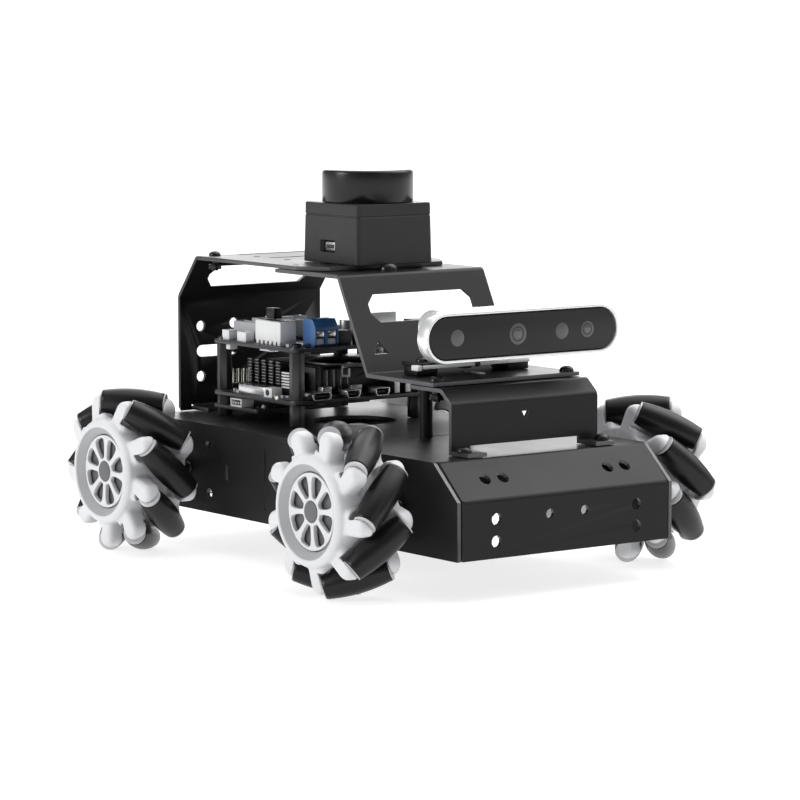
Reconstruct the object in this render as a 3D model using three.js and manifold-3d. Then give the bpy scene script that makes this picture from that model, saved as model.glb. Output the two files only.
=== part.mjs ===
// Four wheel robot chassis with mecanum wheels: a folded steel tray with a two piece cage,
// a front shelf with a depth camera, a scanning range finder on top, and two circuit boards.
// Millimetres, +Z up. The robot faces -Y and its right side is -X. The origin is on the floor
// under the middle of the whole part.
import * as THREE from "three";
import { mergeVertices } from "three/addons/utils/BufferGeometryUtils.js";
import Module from "manifold-3d";

const wasm = await Module();
wasm.setup();

// ---- Driving dimensions ----
const SHEET = 1.5; // thickness of every folded sheet
const GAP = 0.3; // clearance between pieces that touch

const WHEEL_RADIUS = 32.5;
const WHEEL_X = 73; // middle plane of a wheel
const FRONT_AXLE_Y = -65.4;
const REAR_AXLE_Y = 76.2;
const ROLLERS = 9; // rollers on a wheel
const ROLLER_AXIS_RADIUS = 26.75; // from the axle to the middle of a roller
const ROLLER_HALF = 12.5; // half a roller's length
const PIN_RADIUS = 1.2;
const LOBE_FACE = 12.4; // outer face of the lobes, from the wheel's middle plane
const HUB_RIM_FACE = 15.2; // face of the raised rim round the dish
const PETALS = 8; // recesses between the spokes of the hub's dish
const FRONT_PHASE = -5; // angle of the first roller, from the top towards the front
const REAR_PHASE = 4.2;

const TRAY_SIDE_X = 51.2;
const TRAY_NOSE_X = 48.9;
const TRAY_BOTTOM_Z = 15.8;
const DECK_Z = 50.9;
const NOSE_Y = -108.7;
const NOSE_BEND_Z = 37.6;
const DECK_FRONT_Y = -94.6;
const REAR_Y = 99.7;

const CAGE_X = 35.1;
const CAGE_TOP_Z = 115.4;
const CAGE_TOP_REAR_Y = 86.2;
const CAGE_REAR_BEND_Z = 98.5;
const STRUT_TOP_Y = -12.6;
const STRUT_FOOT_Y = -31.4;
const SHELF_Z = 77.2;
const SHELF_FRONT_Y = -72.6;
const BRACKET_FACE_Y = -83.6;

const LIDAR_Y = 16.4;
const LIDAR_BASE_TOP_Z = 139.4;
const LIDAR_TOP_Z = 152.3;
const LIDAR_COVER_RADIUS = 18;

const CAMERA_FACE_Y = -83;
const CAMERA_Z = 94.5;
const CAMERA_HALF_WIDTH = 45.9;
const CAMERA_HALF_HEIGHT = 9.3;

const BOARD = { x0: -32.8, x1: 52.6, y0: 20.4, y1: 78.6, bottom: 59.8, top: 61.4 };
const LOW_BOARD = { x0: -32.3, x1: 10, y0: 47.5, bottom: 54.4, top: 56 };
const POST_X = 29;
const POST_Y = [24, 75];
const CONTROLLER = { x0: -32.8, x1: 45, bottom: 80.7, top: 82.3 };
const SWITCH = { x0: -21.2, x1: -17.1, y0: 51, y1: 56.8 };
const FAN = { x: 7, y: 42, radius: 14.2, z: 73.6 };

// ---- Solids ----
function solid(geometry) {
  const bare = new THREE.BufferGeometry();
  bare.setAttribute("position", geometry.getAttribute("position"));
  if (geometry.index) bare.setIndex(geometry.index);
  const merged = mergeVertices(bare, 1e-4);
  const vertProperties = new Float32Array(merged.getAttribute("position").array);
  const triVerts = new Uint32Array(merged.index.array);
  return new wasm.Manifold(new wasm.Mesh({ numProp: 3, vertProperties, triVerts }));
}

function geometryOf(body) {
  const mesh = body.getMesh();
  const geometry = new THREE.BufferGeometry();
  geometry.setAttribute("position", new THREE.BufferAttribute(mesh.vertProperties, 3));
  geometry.setIndex(new THREE.BufferAttribute(mesh.triVerts, 1));
  const faceted = geometry.toNonIndexed();
  faceted.computeVertexNormals();
  return faceted;
}

const join = (...bodies) => bodies.reduce((whole, body) => whole.add(body));
const cut = (body, ...tools) => tools.reduce((whole, tool) => whole.subtract(tool), body);

function box(x0, x1, y0, y1, z0, z1) {
  const geometry = new THREE.BoxGeometry(x1 - x0, y1 - y0, z1 - z0);
  return solid(geometry.translate((x0 + x1) / 2, (y0 + y1) / 2, (z0 + z1) / 2));
}

// An outline pushed along one axis from a to b. Outlines are [y, z], [x, z] or [x, y].
function prism(axis, outline, a, b) {
  const swap = axis === "y";
  const flip = ([u, v]) => (swap ? new THREE.Vector2(v, u) : new THREE.Vector2(u, v));
  const shape = new THREE.Shape(outline.map(flip));
  const geometry = new THREE.ExtrudeGeometry(shape, { depth: b - a, bevelEnabled: false });
  geometry.translate(0, 0, a);
  const columns = {
    x: [new THREE.Vector3(0, 1, 0), new THREE.Vector3(0, 0, 1), new THREE.Vector3(1, 0, 0)],
    y: [new THREE.Vector3(0, 0, 1), new THREE.Vector3(1, 0, 0), new THREE.Vector3(0, 1, 0)],
    z: [new THREE.Vector3(1, 0, 0), new THREE.Vector3(0, 1, 0), new THREE.Vector3(0, 0, 1)],
  }[axis];
  return solid(geometry.applyMatrix4(new THREE.Matrix4().makeBasis(...columns)));
}

// A round bar along an axis, through [x, y, z], from a to b on that axis.
function rod(axis, [x, y, z], radius, a, b, sides = 12) {
  const geometry = new THREE.CylinderGeometry(radius, radius, b - a, sides);
  const middle = (a + b) / 2;
  if (axis === "x") geometry.rotateZ(-Math.PI / 2).translate(middle, y, z);
  if (axis === "y") geometry.translate(x, middle, z);
  if (axis === "z") geometry.rotateX(Math.PI / 2).translate(x, y, middle);
  return solid(geometry);
}

// The same hole or post on both sides of the middle plane.
const mirrored = (x, make) => [make(-x), make(x)];

// A folded sheet: the visible side follows the path, and the thickness is on its right hand.
function foldedSheet(path, x0, x1) {
  const inner = path.map((point, i) => {
    const before = path[Math.max(i - 1, 0)];
    const after = path[Math.min(i + 1, path.length - 1)];
    const unit = (p, q) => new THREE.Vector2(q[0] - p[0], q[1] - p[1]).normalize();
    const into = i > 0 ? unit(before, point) : unit(point, after);
    const out = i < path.length - 1 ? unit(point, after) : into;
    const normal = new THREE.Vector2(into.y + out.y, -into.x - out.x).normalize();
    const miter = SHEET / normal.dot(new THREE.Vector2(into.y, -into.x));
    return [point[0] + normal.x * miter, point[1] + normal.y * miter];
  });
  return prism("x", [...path, ...inner.reverse()], x0, x1);
}

// ---- Tray and sheet metal ----
function chassisDeck() {
  const inner = TRAY_SIDE_X - SHEET;
  const deckStart = DECK_FRONT_Y + 1.6;
  const nose = foldedSheet(
    [[NOSE_Y, TRAY_BOTTOM_Z], [NOSE_Y, NOSE_BEND_Z], [DECK_FRONT_Y, DECK_Z], [deckStart + 1.4, DECK_Z]],
    -TRAY_NOSE_X, TRAY_NOSE_X);
  const deck = box(-inner - 0.5, inner + 0.5, deckStart, REAR_Y, DECK_Z - SHEET, DECK_Z);
  const sideOutline = [
    [REAR_Y, TRAY_BOTTOM_Z], [REAR_Y, DECK_Z], [deckStart, DECK_Z], [DECK_FRONT_Y + 0.6, DECK_Z - 0.4],
    [NOSE_Y + 0.4, NOSE_BEND_Z], [NOSE_Y + 0.4, TRAY_BOTTOM_Z],
  ];
  const sides = [[-TRAY_SIDE_X, -inner], [inner, TRAY_SIDE_X]].map(([a, b]) => prism("x", sideOutline, a, b));
  const rear = box(-TRAY_NOSE_X, TRAY_NOSE_X, REAR_Y - SHEET, REAR_Y, TRAY_BOTTOM_Z, DECK_Z);
  const holes = [
    rod("z", [4, 31, 0], 17, DECK_Z - 5, DECK_Z + 5, 20),
    box(-14, 14, -30.8, -29.6, DECK_Z - 5, DECK_Z + 5),
    ...[FRONT_AXLE_Y, REAR_AXLE_Y].map((y) => rod("x", [0, y, WHEEL_RADIUS], 4.5, -60, 60, 10)),
    ...[[53.2, 23.5], [54.1, 42.3]].map(([y, z]) => rod("x", [0, y, z], 2, -60, 60, 8)),
    box(-60, 60, 39.8, 41.8, 29.6, 36.2),
    box(-60, 60, 13.7, 14.8, 20.8, 44.5),
    ...mirrored(33.4, (x) => rod("y", [x, 0, 30.3], 2.3, NOSE_Y - 3, NOSE_Y + 3, 10)),
    ...mirrored(33.4, (x) => rod("y", [x, 0, 22], 2.3, NOSE_Y - 3, NOSE_Y + 3, 10)),
    ...mirrored(8.3, (x) => rod("y", [x, 0, 30.2], 1.9, NOSE_Y - 3, NOSE_Y + 3, 8)),
    ...[25, 33.3].flatMap((x) => mirrored(x, slopeHole)),
  ];
  return cut(join(deck, nose, ...sides, rear), ...holes);
}

// A hole square to the sloping part of the nose.
function slopeHole(x) {
  const slope = Math.atan2(DECK_Z - NOSE_BEND_Z, DECK_FRONT_Y - NOSE_Y);
  const geometry = new THREE.CylinderGeometry(2.5, 2.5, 8, 10).rotateX(Math.PI / 2 + slope);
  const middle = [(NOSE_Y + DECK_FRONT_Y) / 2, (NOSE_BEND_Z + DECK_Z) / 2];
  return solid(geometry.translate(x, ...middle));
}

// A window with its corners cut off, in the plane of x and z.
function windowOutline(half, low, high, corner) {
  return [
    [-half + corner, low], [half - corner, low], [half, low + corner], [half, high - corner],
    [half - corner, high], [-half + corner, high], [-half, high - corner], [-half, low + corner],
  ];
}

// A slot with round ends through the rear plate, between x0 and x1.
function rearSlot(x0, x1, z, half) {
  const ends = [x0 + half, x1 - half].map((x) => rod("y", [x, 0, z], half, REAR_Y - 5, REAR_Y + 5, 12));
  return join(box(x0 + half, x1 - half, REAR_Y - 5, REAR_Y + 5, z - half, z + half), ...ends);
}

function rearFrame() {
  const foot = DECK_Z + GAP;
  const footHalf = 28.4;
  const path = [
    [3.9, CAGE_TOP_Z], [CAGE_TOP_REAR_Y, CAGE_TOP_Z], [REAR_Y, CAGE_REAR_BEND_Z],
    [REAR_Y, foot], [88, foot],
  ];
  const sheet = foldedSheet(path, -CAGE_X, CAGE_X);
  const corner = [[27.5, 3.8], [27.5, 3], [40, 3], [40, 16], [35.2, 16]];
  const cornerCuts = [
    prism("z", corner, CAGE_TOP_Z - 5, CAGE_TOP_Z + 5),
    prism("z", corner.map(([x, y]) => [-x, y]).reverse(), CAGE_TOP_Z - 5, CAGE_TOP_Z + 5),
  ];
  const footCuts = [
    box(-40, -footHalf, 80, REAR_Y - SHEET, 50, 54),
    box(footHalf, 40, 80, REAR_Y - SHEET, 50, 54),
  ];
  const holes = [
    prism("y", windowOutline(25.3, 101.9, 110.6, 3.4), 80, 120),
    ...mirrored(24.9, (x) => rod("y", [x, 0, 85.5], 2.2, 90, 110, 10)),
    ...mirrored(24.9, (x) => rod("y", [x, 0, 64.8], 2.2, 90, 110, 10)),
    ...mirrored(8.6, (x) => rod("y", [x, 0, 86], 2.2, 90, 110, 10)),
    ...mirrored(29, (x) => rod("y", [x, 0, foot + SHEET], 0.9, 90, 110, 8)),
    rearSlot(-27, -7, 75.2, 2.4),
    rearSlot(7, 27, 75.2, 2.4),
    ...[81.2, 59].map((y) => box(-17.5, 17.5, y - 1.2, y + 1.2, CAGE_TOP_Z - 5, CAGE_TOP_Z + 5)),
    ...[47.5, 69].flatMap((y) => mirrored(17, (x) => rod("z", [x, y, 0], 1.6, 110, 120, 8))),
    ...mirrored(31.5, (x) => rod("z", [x, 21, 0], 1.5, 110, 120, 8)),
  ];
  return cut(sheet, ...cornerCuts, ...footCuts, ...holes);
}

function frontFrame() {
  const top = CAGE_TOP_Z - SHEET - GAP;
  const sheet = foldedSheet(
    [[SHELF_FRONT_Y, SHELF_Z], [STRUT_FOOT_Y, SHELF_Z], [STRUT_TOP_Y, top], [30, top]], -CAGE_X, CAGE_X);
  const window = prism("y", windowOutline(25.2, 95.4, 105.8, 3.4), -40, 0);
  const slot = box(-1.2, 1.2, -58.7, -44.6, SHELF_Z - 5, SHELF_Z + 5);
  const notch = prism("y", [[-29, 84], [-22, 84], [-25.5, 89]], -40, -20);
  const posts = mirrored(9.5, (x) => rod("z", [x, -34.5, 0], 2.9, DECK_Z + GAP, SHELF_Z - SHEET + 0.5, 6));
  return join(cut(sheet, window, slot, notch), ...posts);
}

function frontBracket() {
  const top = SHELF_Z - SHEET - GAP;
  const skirt = 54.2;
  const sheet = foldedSheet(
    [[BRACKET_FACE_Y, skirt], [BRACKET_FACE_Y, 70.2], [-77.4, top], [-58, top]], -CAGE_X, CAGE_X);
  const foot = (x) => join(
    box(x - 4.5, x + 4.5, BRACKET_FACE_Y, BRACKET_FACE_Y + SHEET, DECK_Z + GAP, skirt + 1),
    box(x - 4.5, x + 4.5, -93.6, BRACKET_FACE_Y + SHEET, DECK_Z + GAP, DECK_Z + GAP + SHEET));
  const hole = prism("y", [[-1.6, 65.5], [0, 62.6], [1.6, 65.5]], BRACKET_FACE_Y - 3, BRACKET_FACE_Y + 4);
  return cut(join(sheet, ...mirrored(CAGE_X - 4.5, foot)), hole);
}

// ---- Drive ----
function batteryPack() {
  return box(-37, 37, -38, 38, 27, DECK_Z - SHEET - GAP);
}

const MOTOR_FACE = TRAY_SIDE_X - SHEET - GAP;
function gearMotor(side, y) {
  const axle = [0, y, WHEEL_RADIUS];
  const [near, far] = [side * MOTOR_FACE, side * 5].sort((a, b) => a - b);
  const [mouth, end] = [side * (MOTOR_FACE + 1), side * (MOTOR_FACE - 8)].sort((a, b) => a - b);
  return cut(rod("x", axle, 12.5, near, far, 16), rod("x", axle, 2.9, mouth, end, 8));
}

// ---- Wheels: local +X points out of the robot, and angles run from +Z towards -Y ----
function rollerPlace(angle, hand) {
  const radial = new THREE.Vector3(0, -Math.sin(angle), Math.cos(angle));
  const around = new THREE.Vector3(0, -Math.cos(angle), -Math.sin(angle));
  const axis = new THREE.Vector3(1, 0, 0).addScaledVector(around, hand).normalize();
  return { centre: radial.multiplyScalar(ROLLER_AXIS_RADIUS), axis };
}

// The barrel that keeps the wheel's outline round: radius and station for a point t along the axis.
function barrelPoint(t) {
  const reach = Math.hypot(ROLLER_AXIS_RADIUS, t * Math.SQRT1_2);
  const ratio = WHEEL_RADIUS / reach - 1;
  return new THREE.Vector2(ratio * Math.sqrt(reach * reach - t * t / 4), t * (1 + ratio / 2));
}

function rollerGeometry() {
  const bore = PIN_RADIUS + GAP;
  const last = barrelPoint(ROLLER_HALF / 1.075);
  const outside = [-1, -0.55, 0, 0.55, 1].map((share) => barrelPoint(share * last.y / 1.075));
  const [low, high] = [outside[0].y, outside[4].y];
  const profile = [new THREE.Vector2(bore, low), ...outside, new THREE.Vector2(bore, high)];
  profile.push(profile[0].clone());
  return geometryOf(solid(new THREE.LatheGeometry(profile, 10)));
}

function turned(geometry, { centre, axis }) {
  const turn = new THREE.Quaternion().setFromUnitVectors(new THREE.Vector3(0, 1, 0), axis);
  return solid(geometry.applyQuaternion(turn).translate(...centre));
}

// A finger of the hub at one angle, between two planes across the axle.
function lobe(angle, x0, x1) {
  const outline = [[-5, 16], [5, 16], [5.3, 26.6], [2.8, 31], [-2.8, 31], [-5.3, 26.6]];
  const shape = new THREE.Shape(outline.map(([u, v]) => new THREE.Vector2(u, v)));
  const geometry = new THREE.ExtrudeGeometry(shape, { depth: x1 - x0, bevelEnabled: false });
  geometry.translate(0, 0, x0).rotateX(Math.PI / 2).rotateZ(Math.PI / 2).rotateX(angle);
  return solid(geometry);
}

function wheelHub(hand) {
  const dishFloor = LOBE_FACE - 0.2;
  const profile = [
    [0, -LOBE_FACE], [18.2, -LOBE_FACE], [18.2, LOBE_FACE], [19.3, LOBE_FACE], [18.6, HUB_RIM_FACE],
    [17, HUB_RIM_FACE], [14.9, dishFloor], [0, dishFloor],
  ].map(([r, x]) => new THREE.Vector2(r, x));
  const core = solid(new THREE.LatheGeometry(profile, 18).rotateZ(-Math.PI / 2));
  const step = 2 * Math.PI / ROLLERS;
  const lobes = [];
  const clearances = [];
  const pins = [];
  for (let k = 0; k < ROLLERS; k++) {
    lobes.push(lobe((k + 0.5) * step, 6.4, LOBE_FACE), lobe((k + 0.5) * step, -LOBE_FACE, -6.4));
    const place = rollerPlace(k * step, hand);
    clearances.push(turned(new THREE.CylinderGeometry(7, 7, 2 * ROLLER_HALF + 0.8, 6), place));
    pins.push(turned(new THREE.CylinderGeometry(PIN_RADIUS, PIN_RADIUS, 2 * ROLLER_HALF + 3, 5), place));
  }
  const petals = [];
  for (let k = 0; k < PETALS; k++) {
    const petal = new THREE.CylinderGeometry(2.2, 2.2, 6, 6).scale(1, 1, 1.65).rotateZ(-Math.PI / 2);
    petals.push(solid(petal.translate(dishFloor, 0, 9.9).rotateX((k + 0.5) * 2 * Math.PI / PETALS)));
  }
  const coupler = rod("x", [0, 0, 0], 6, -17, -LOBE_FACE + 1, 6);
  const shaft = rod("x", [0, 0, 0], 2.5, -29.5, -16, 8);
  return geometryOf(join(cut(join(core, ...lobes), ...clearances, ...petals), ...pins, coupler, shaft));
}

// ---- Range finder ----
function lidarBase() {
  const half = 18.5;
  const flat = half - 1.2;
  const taper = 0.033; // the top is this much narrower
  const height = LIDAR_BASE_TOP_Z - CAGE_TOP_Z - GAP;
  const outline = [
    [half, -flat], [half, flat], [flat, half], [-flat, half],
    [-half, flat], [-half, -flat], [-flat, -half], [flat, -half],
  ].map(([x, y]) => new THREE.Vector2(x, y));
  const shape = new THREE.Shape(outline);
  const geometry = new THREE.ExtrudeGeometry(shape, { depth: height, bevelEnabled: false });
  const places = geometry.getAttribute("position");
  for (let i = 0; i < places.count; i++) {
    const draft = 1 - taper * places.getZ(i) / height;
    places.setXY(i, places.getX(i) * draft, places.getY(i) * draft);
  }
  const body = solid(geometry.translate(0, LIDAR_Y, CAGE_TOP_Z + GAP));
  return cut(body, rod("z", [0, LIDAR_Y, 0], 3, LIDAR_BASE_TOP_Z - 6, LIDAR_BASE_TOP_Z + 1, 10));
}

function lidarCover() {
  const inner = LIDAR_COVER_RADIUS - 1.2;
  const low = LIDAR_BASE_TOP_Z + GAP;
  const edge = LIDAR_TOP_Z - 0.8;
  const profile = [
    [inner, low], [LIDAR_COVER_RADIUS, low], [LIDAR_COVER_RADIUS, edge],
    [LIDAR_COVER_RADIUS - 0.8, LIDAR_TOP_Z], [0, LIDAR_TOP_Z], [0, LIDAR_TOP_Z - 1.2],
    [inner, LIDAR_TOP_Z - 1.2], [inner, low],
  ].map(([r, z]) => new THREE.Vector2(r, z));
  return solid(new THREE.LatheGeometry(profile, 24).rotateX(Math.PI / 2).translate(0, LIDAR_Y, 0));
}

function lidarRotor() {
  return join(
    rod("z", [0, LIDAR_Y, 0], 15.2, 140, 142, 16),
    box(-11, 11, LIDAR_Y - 9, LIDAR_Y + 4, 141.5, 149),
    rod("z", [0, LIDAR_Y, 0], 2.4, 134, 141, 10));
}

// ---- Depth camera ----
function stadium(halfWidth, halfHeight, sides) {
  const points = [];
  for (const end of [1, -1]) {
    for (let i = 0; i <= sides; i++) {
      const turn = Math.PI * (i / sides - 0.5);
      points.push([
        end * (halfWidth - halfHeight + halfHeight * Math.cos(turn)),
        CAMERA_Z + end * halfHeight * Math.sin(turn),
      ]);
    }
  }
  return points;
}

function cameraShell() {
  const bezelBack = CAMERA_FACE_Y + 6.3;
  const rim = 1;
  const bezel = prism("y", stadium(CAMERA_HALF_WIDTH, CAMERA_HALF_HEIGHT, 8), CAMERA_FACE_Y, bezelBack);
  const housing = box(-35, 35, bezelBack - 1, -62, CAMERA_Z - 9, CAMERA_Z + 9);
  const opening = stadium(CAMERA_HALF_WIDTH - rim, CAMERA_HALF_HEIGHT - rim, 8);
  return cut(join(bezel, housing), prism("y", opening, CAMERA_FACE_Y - 1, CAMERA_FACE_Y + 2.5));
}

function cameraWindow() {
  const inset = 1.3;
  const outline = stadium(CAMERA_HALF_WIDTH - inset, CAMERA_HALF_HEIGHT - inset, 8);
  return prism("y", outline, CAMERA_FACE_Y + 0.3, CAMERA_FACE_Y + 2.2);
}

function cameraMount() {
  const foot = (x) => box(x - 5, x + 5, -53, -42, SHELF_Z + GAP, 80.8);
  return join(
    box(-26, 26, -53.4, -40, 80.5, 82.3),
    box(-20, 20, -53.4, -51.6, 80.5, 101),
    box(-12, 12, -61.7, -51.6, 89, 101),
    ...mirrored(21, foot));
}

// ---- Electronics ----
// Four hexagonal posts under or between the boards.
function posts(low, high) {
  return POST_Y.flatMap((y) => mirrored(POST_X, (x) => rod("z", [x, y, 0], 3, low, high, 6)));
}

function computerBoard() {
  const { x0, x1, y0, y1, bottom, top } = BOARD;
  const port = (x, width) => box(x - width / 2, x + width / 2, y0 - 1, y0 + 6, top - 0.2, top + 3.2);
  const jack = (y, height) => box(x1 - 17, x1 + 2.6, y - 7, y + 7, top - 0.2, top + height);
  return join(
    box(x0, x1, y0, y1, bottom, top),
    ...posts(DECK_Z + GAP, bottom + 0.5),
    port(-20.2, 9), port(-4.8, 7), port(9.6, 7),
    box(17, 25.4, y0 + 1, y0 + 4, top - 0.2, top + 5.4),
    jack(30, 13.5), jack(48.5, 15.5), jack(67, 15.5),
    box(-25.4, 25.4, y1 - 6, y1 - 1, top - 0.2, top + 8.5),
    box(LOW_BOARD.x0, LOW_BOARD.x1, LOW_BOARD.y0, y1, LOW_BOARD.bottom, LOW_BOARD.top),
    box(LOW_BOARD.x0 - 0.4, -26.5, 57.5, 65.3, LOW_BOARD.top - 0.2, LOW_BOARD.top + 3.3));
}

function cooler() {
  const block = box(-24.5, 30, 29.5, 69, BOARD.top + GAP, FAN.z);
  const well = rod("z", [FAN.x, FAN.y, 0], FAN.radius, FAN.z - 7, FAN.z + 1, 18);
  const bore = rod("z", [FAN.x, FAN.y, 0], 2, FAN.z - 10, FAN.z, 8);
  return cut(block, well, bore, ...finGaps());
}

// Five gaps between the fins at the right hand end of the cooler.
function finGaps() {
  const gaps = [];
  for (let i = 0; i < 5; i++) {
    const start = 33 + i * 6.6;
    gaps.push(box(-26, -14, start, start + 3.6, BOARD.top + 3, FAN.z + 1));
  }
  return gaps;
}

function fanRotor() {
  const blades = [];
  for (let k = 0; k < 7; k++) {
    const blade = new THREE.BoxGeometry(8.5, 1, 4).rotateX(0.7).translate(8.6, 0, FAN.z - 3.6);
    blades.push(solid(blade.rotateZ(k * 2 * Math.PI / 7).translate(FAN.x, FAN.y, 0)));
  }
  return join(
    rod("z", [FAN.x, FAN.y, 0], 5.5, FAN.z - 6.4, FAN.z - 1, 12),
    rod("z", [FAN.x, FAN.y, 0], 1.4, FAN.z - 9.5, FAN.z - 2, 6),
    ...blades);
}

function controllerBoard() {
  const { x0, x1, bottom, top } = CONTROLLER;
  const block = (a, b, c, d, height) => box(a, b, c, d, top - 0.2, top + height);
  return join(
    box(x0, x1, BOARD.y0, BOARD.y1, bottom, top),
    ...posts(BOARD.top + GAP, bottom + 0.5),
    block(-21.5, -10.3, 22, 30.5, 10.9),
    block(-29.4, -21.5, 34.8, 52.4, 9.4),
    block(-30.8, -26.8, 57.5, 74, 3.8),
    block(-24, 8, 61, 75.8, 7.5),
    block(32.5, 44.6, 56, 72, 8.6));
}

// The sliding cap and stem of the switch, just above the board.
function powerSwitch() {
  const foot = CONTROLLER.top;
  const { x0, x1, y0, y1 } = SWITCH;
  return join(
    box(x0 + 0.4, x1 - 0.4, y0 + 1.8, y1 - 1.6, foot + GAP, foot + 10),
    box(x0, x1, y0, y1, foot + 9.3, foot + 13.4));
}

// ---- Scene ----
const BLACK_STEEL = { color: 0x1b1b1d, roughness: 0.5, metalness: 0.3 };
const BLACK_PLASTIC = { color: 0x0c0c0d, roughness: 0.35, metalness: 0 };
const SILVER = { color: 0xc9cacc, roughness: 0.3, metalness: 0.9 };
const HUB_GREY = { color: 0xc4c5c8, roughness: 0.5, metalness: 0 };
const RUBBER = { color: 0x0a0a0b, roughness: 0.45, metalness: 0 };
const BOARD_BLACK = { color: 0x141518, roughness: 0.6, metalness: 0 };

const robot = new THREE.Group();

function addMesh(parent, name, geometry, finish) {
  const mesh = new THREE.Mesh(geometry, new THREE.MeshStandardMaterial(finish));
  mesh.name = name;
  parent.add(mesh);
  return mesh;
}

const addSolid = (name, body, finish) => addMesh(robot, name, geometryOf(body), finish);

addSolid("chassis_deck", chassisDeck(), BLACK_STEEL);
addSolid("rear_frame", rearFrame(), BLACK_STEEL);
addSolid("front_frame", frontFrame(), BLACK_STEEL);
addSolid("front_bracket", frontBracket(), BLACK_STEEL);
addSolid("battery_pack", batteryPack(), BLACK_PLASTIC);
addSolid("lidar_base", lidarBase(), BLACK_PLASTIC);
addSolid("lidar_cover", lidarCover(), BLACK_PLASTIC);
addSolid("lidar_rotor", lidarRotor(), BLACK_PLASTIC);
addSolid("camera_shell", cameraShell(), SILVER);
addSolid("camera_window", cameraWindow(), BLACK_PLASTIC);
addSolid("camera_mount", cameraMount(), BLACK_STEEL);
addSolid("computer_board", computerBoard(), BOARD_BLACK);
addSolid("cooler", cooler(), BLACK_PLASTIC);
addSolid("fan_rotor", fanRotor(), BLACK_PLASTIC);
addSolid("controller_board", controllerBoard(), BOARD_BLACK);
addSolid("power_switch", powerSwitch(), BLACK_PLASTIC);

const hubs = { 1: wheelHub(1), "-1": wheelHub(-1) };
const roller = rollerGeometry();

// side is +1 on the robot's left and -1 on its right; hand is the slant of the rollers there.
function addWheel(tag, side, axleY, phase, hand) {
  addSolid("gear_motor_" + tag, gearMotor(side, axleY), SILVER);
  const wheel = new THREE.Group();
  wheel.position.set(side * WHEEL_X, axleY, WHEEL_RADIUS);
  if (side < 0) wheel.rotation.z = Math.PI;
  const spin = new THREE.Group();
  spin.rotation.x = THREE.MathUtils.degToRad(side * phase);
  wheel.add(spin);
  robot.add(wheel);
  const localHand = side * hand;
  addMesh(spin, "wheel_hub_" + tag, hubs[localHand], HUB_GREY);
  for (let k = 0; k < ROLLERS; k++) {
    const { centre, axis } = rollerPlace(k * 2 * Math.PI / ROLLERS, localHand);
    const mesh = addMesh(spin, "roller_" + tag + "_" + (k + 1), roller, RUBBER);
    mesh.position.copy(centre);
    mesh.quaternion.setFromUnitVectors(new THREE.Vector3(0, 1, 0), axis);
  }
}

addWheel("fl", 1, FRONT_AXLE_Y, FRONT_PHASE, 1);
addWheel("fr", -1, FRONT_AXLE_Y, FRONT_PHASE, 1);
addWheel("rl", 1, REAR_AXLE_Y, REAR_PHASE, -1);
addWheel("rr", -1, REAR_AXLE_Y, REAR_PHASE, -1);

export default robot;
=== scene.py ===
"""Four wheel robot chassis: the looks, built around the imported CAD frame.

Shapes are worked out in millimetres and brought to metres when a piece is made. The robot faces -Y.
"""
import math
import random

import bmesh
import bpy
import numpy as np
import openvdb
from mathutils import Matrix, Vector


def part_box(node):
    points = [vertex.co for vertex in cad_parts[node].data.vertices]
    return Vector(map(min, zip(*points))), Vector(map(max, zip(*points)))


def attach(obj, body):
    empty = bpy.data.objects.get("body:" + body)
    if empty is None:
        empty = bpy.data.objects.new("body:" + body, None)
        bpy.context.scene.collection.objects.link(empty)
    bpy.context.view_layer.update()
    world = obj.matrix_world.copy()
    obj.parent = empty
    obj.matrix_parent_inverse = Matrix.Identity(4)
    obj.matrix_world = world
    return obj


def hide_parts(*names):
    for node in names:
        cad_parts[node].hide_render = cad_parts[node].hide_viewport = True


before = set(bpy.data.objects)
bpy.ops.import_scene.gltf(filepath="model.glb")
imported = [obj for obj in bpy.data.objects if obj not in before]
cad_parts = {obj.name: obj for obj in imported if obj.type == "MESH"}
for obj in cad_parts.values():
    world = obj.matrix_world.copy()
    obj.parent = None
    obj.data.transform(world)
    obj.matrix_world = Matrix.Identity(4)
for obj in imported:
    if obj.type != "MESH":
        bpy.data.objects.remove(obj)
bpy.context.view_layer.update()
MM = 0.001

# ---- Driving dimensions, in millimetres, as in the CAD model ----
WHEEL_RADIUS = 32.5
WHEEL_X = 73.0
FRONT_AXLE_Y = -65.4
REAR_AXLE_Y = 76.2
ROLLERS = 9
SPOKES = 8
CORNERS = (("fl", 1), ("fr", -1), ("rl", 1), ("rr", -1))  # with the side of X that each is on
ROLLER_AXIS_RADIUS = 26.75
ROLLER_HALF = 12.5
LOBE_FACE = 12.4
HUB_RIM_FACE = 15.2
FRONT_PHASE = -5.0
REAR_PHASE = 4.2
DECK_Z = 50.9
CAGE_TOP_Z = 115.4
SHELF_Z = 77.2
LIDAR_Y = 16.4
CAMERA_Z = 94.5
BOARD_Z = 61.4
CONTROL_Z = 82.3
POSTS = [(x, y) for x in (-29.0, 29.0) for y in (24.0, 75.0)]
FAN_X, FAN_Y, FAN_Z = 7.0, 42.0, 73.6

CAMERA_PLACE = Vector((-0.8383, -1.1291, 0.2191))
CAMERA_TARGET = Vector((0.00244, -0.00165, 0.06205))
CAMERA_LENS = 161.965
SENSOR_WIDTH = 36


def new_object(name, data):
    made = bpy.data.objects.new(name, data)
    bpy.context.scene.collection.objects.link(made)
    return made


def node_box(node):
    """A CAD node's lowest and highest corners, in millimetres."""
    low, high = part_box(node)
    return low / MM, high / MM


# ---- Finishes ----
def feed(tree, socket, value):
    """Gives a node's input a value, or another node's output."""
    if isinstance(value, bpy.types.NodeSocket):
        tree.links.new(value, socket)
    else:
        socket.default_value = value


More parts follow.
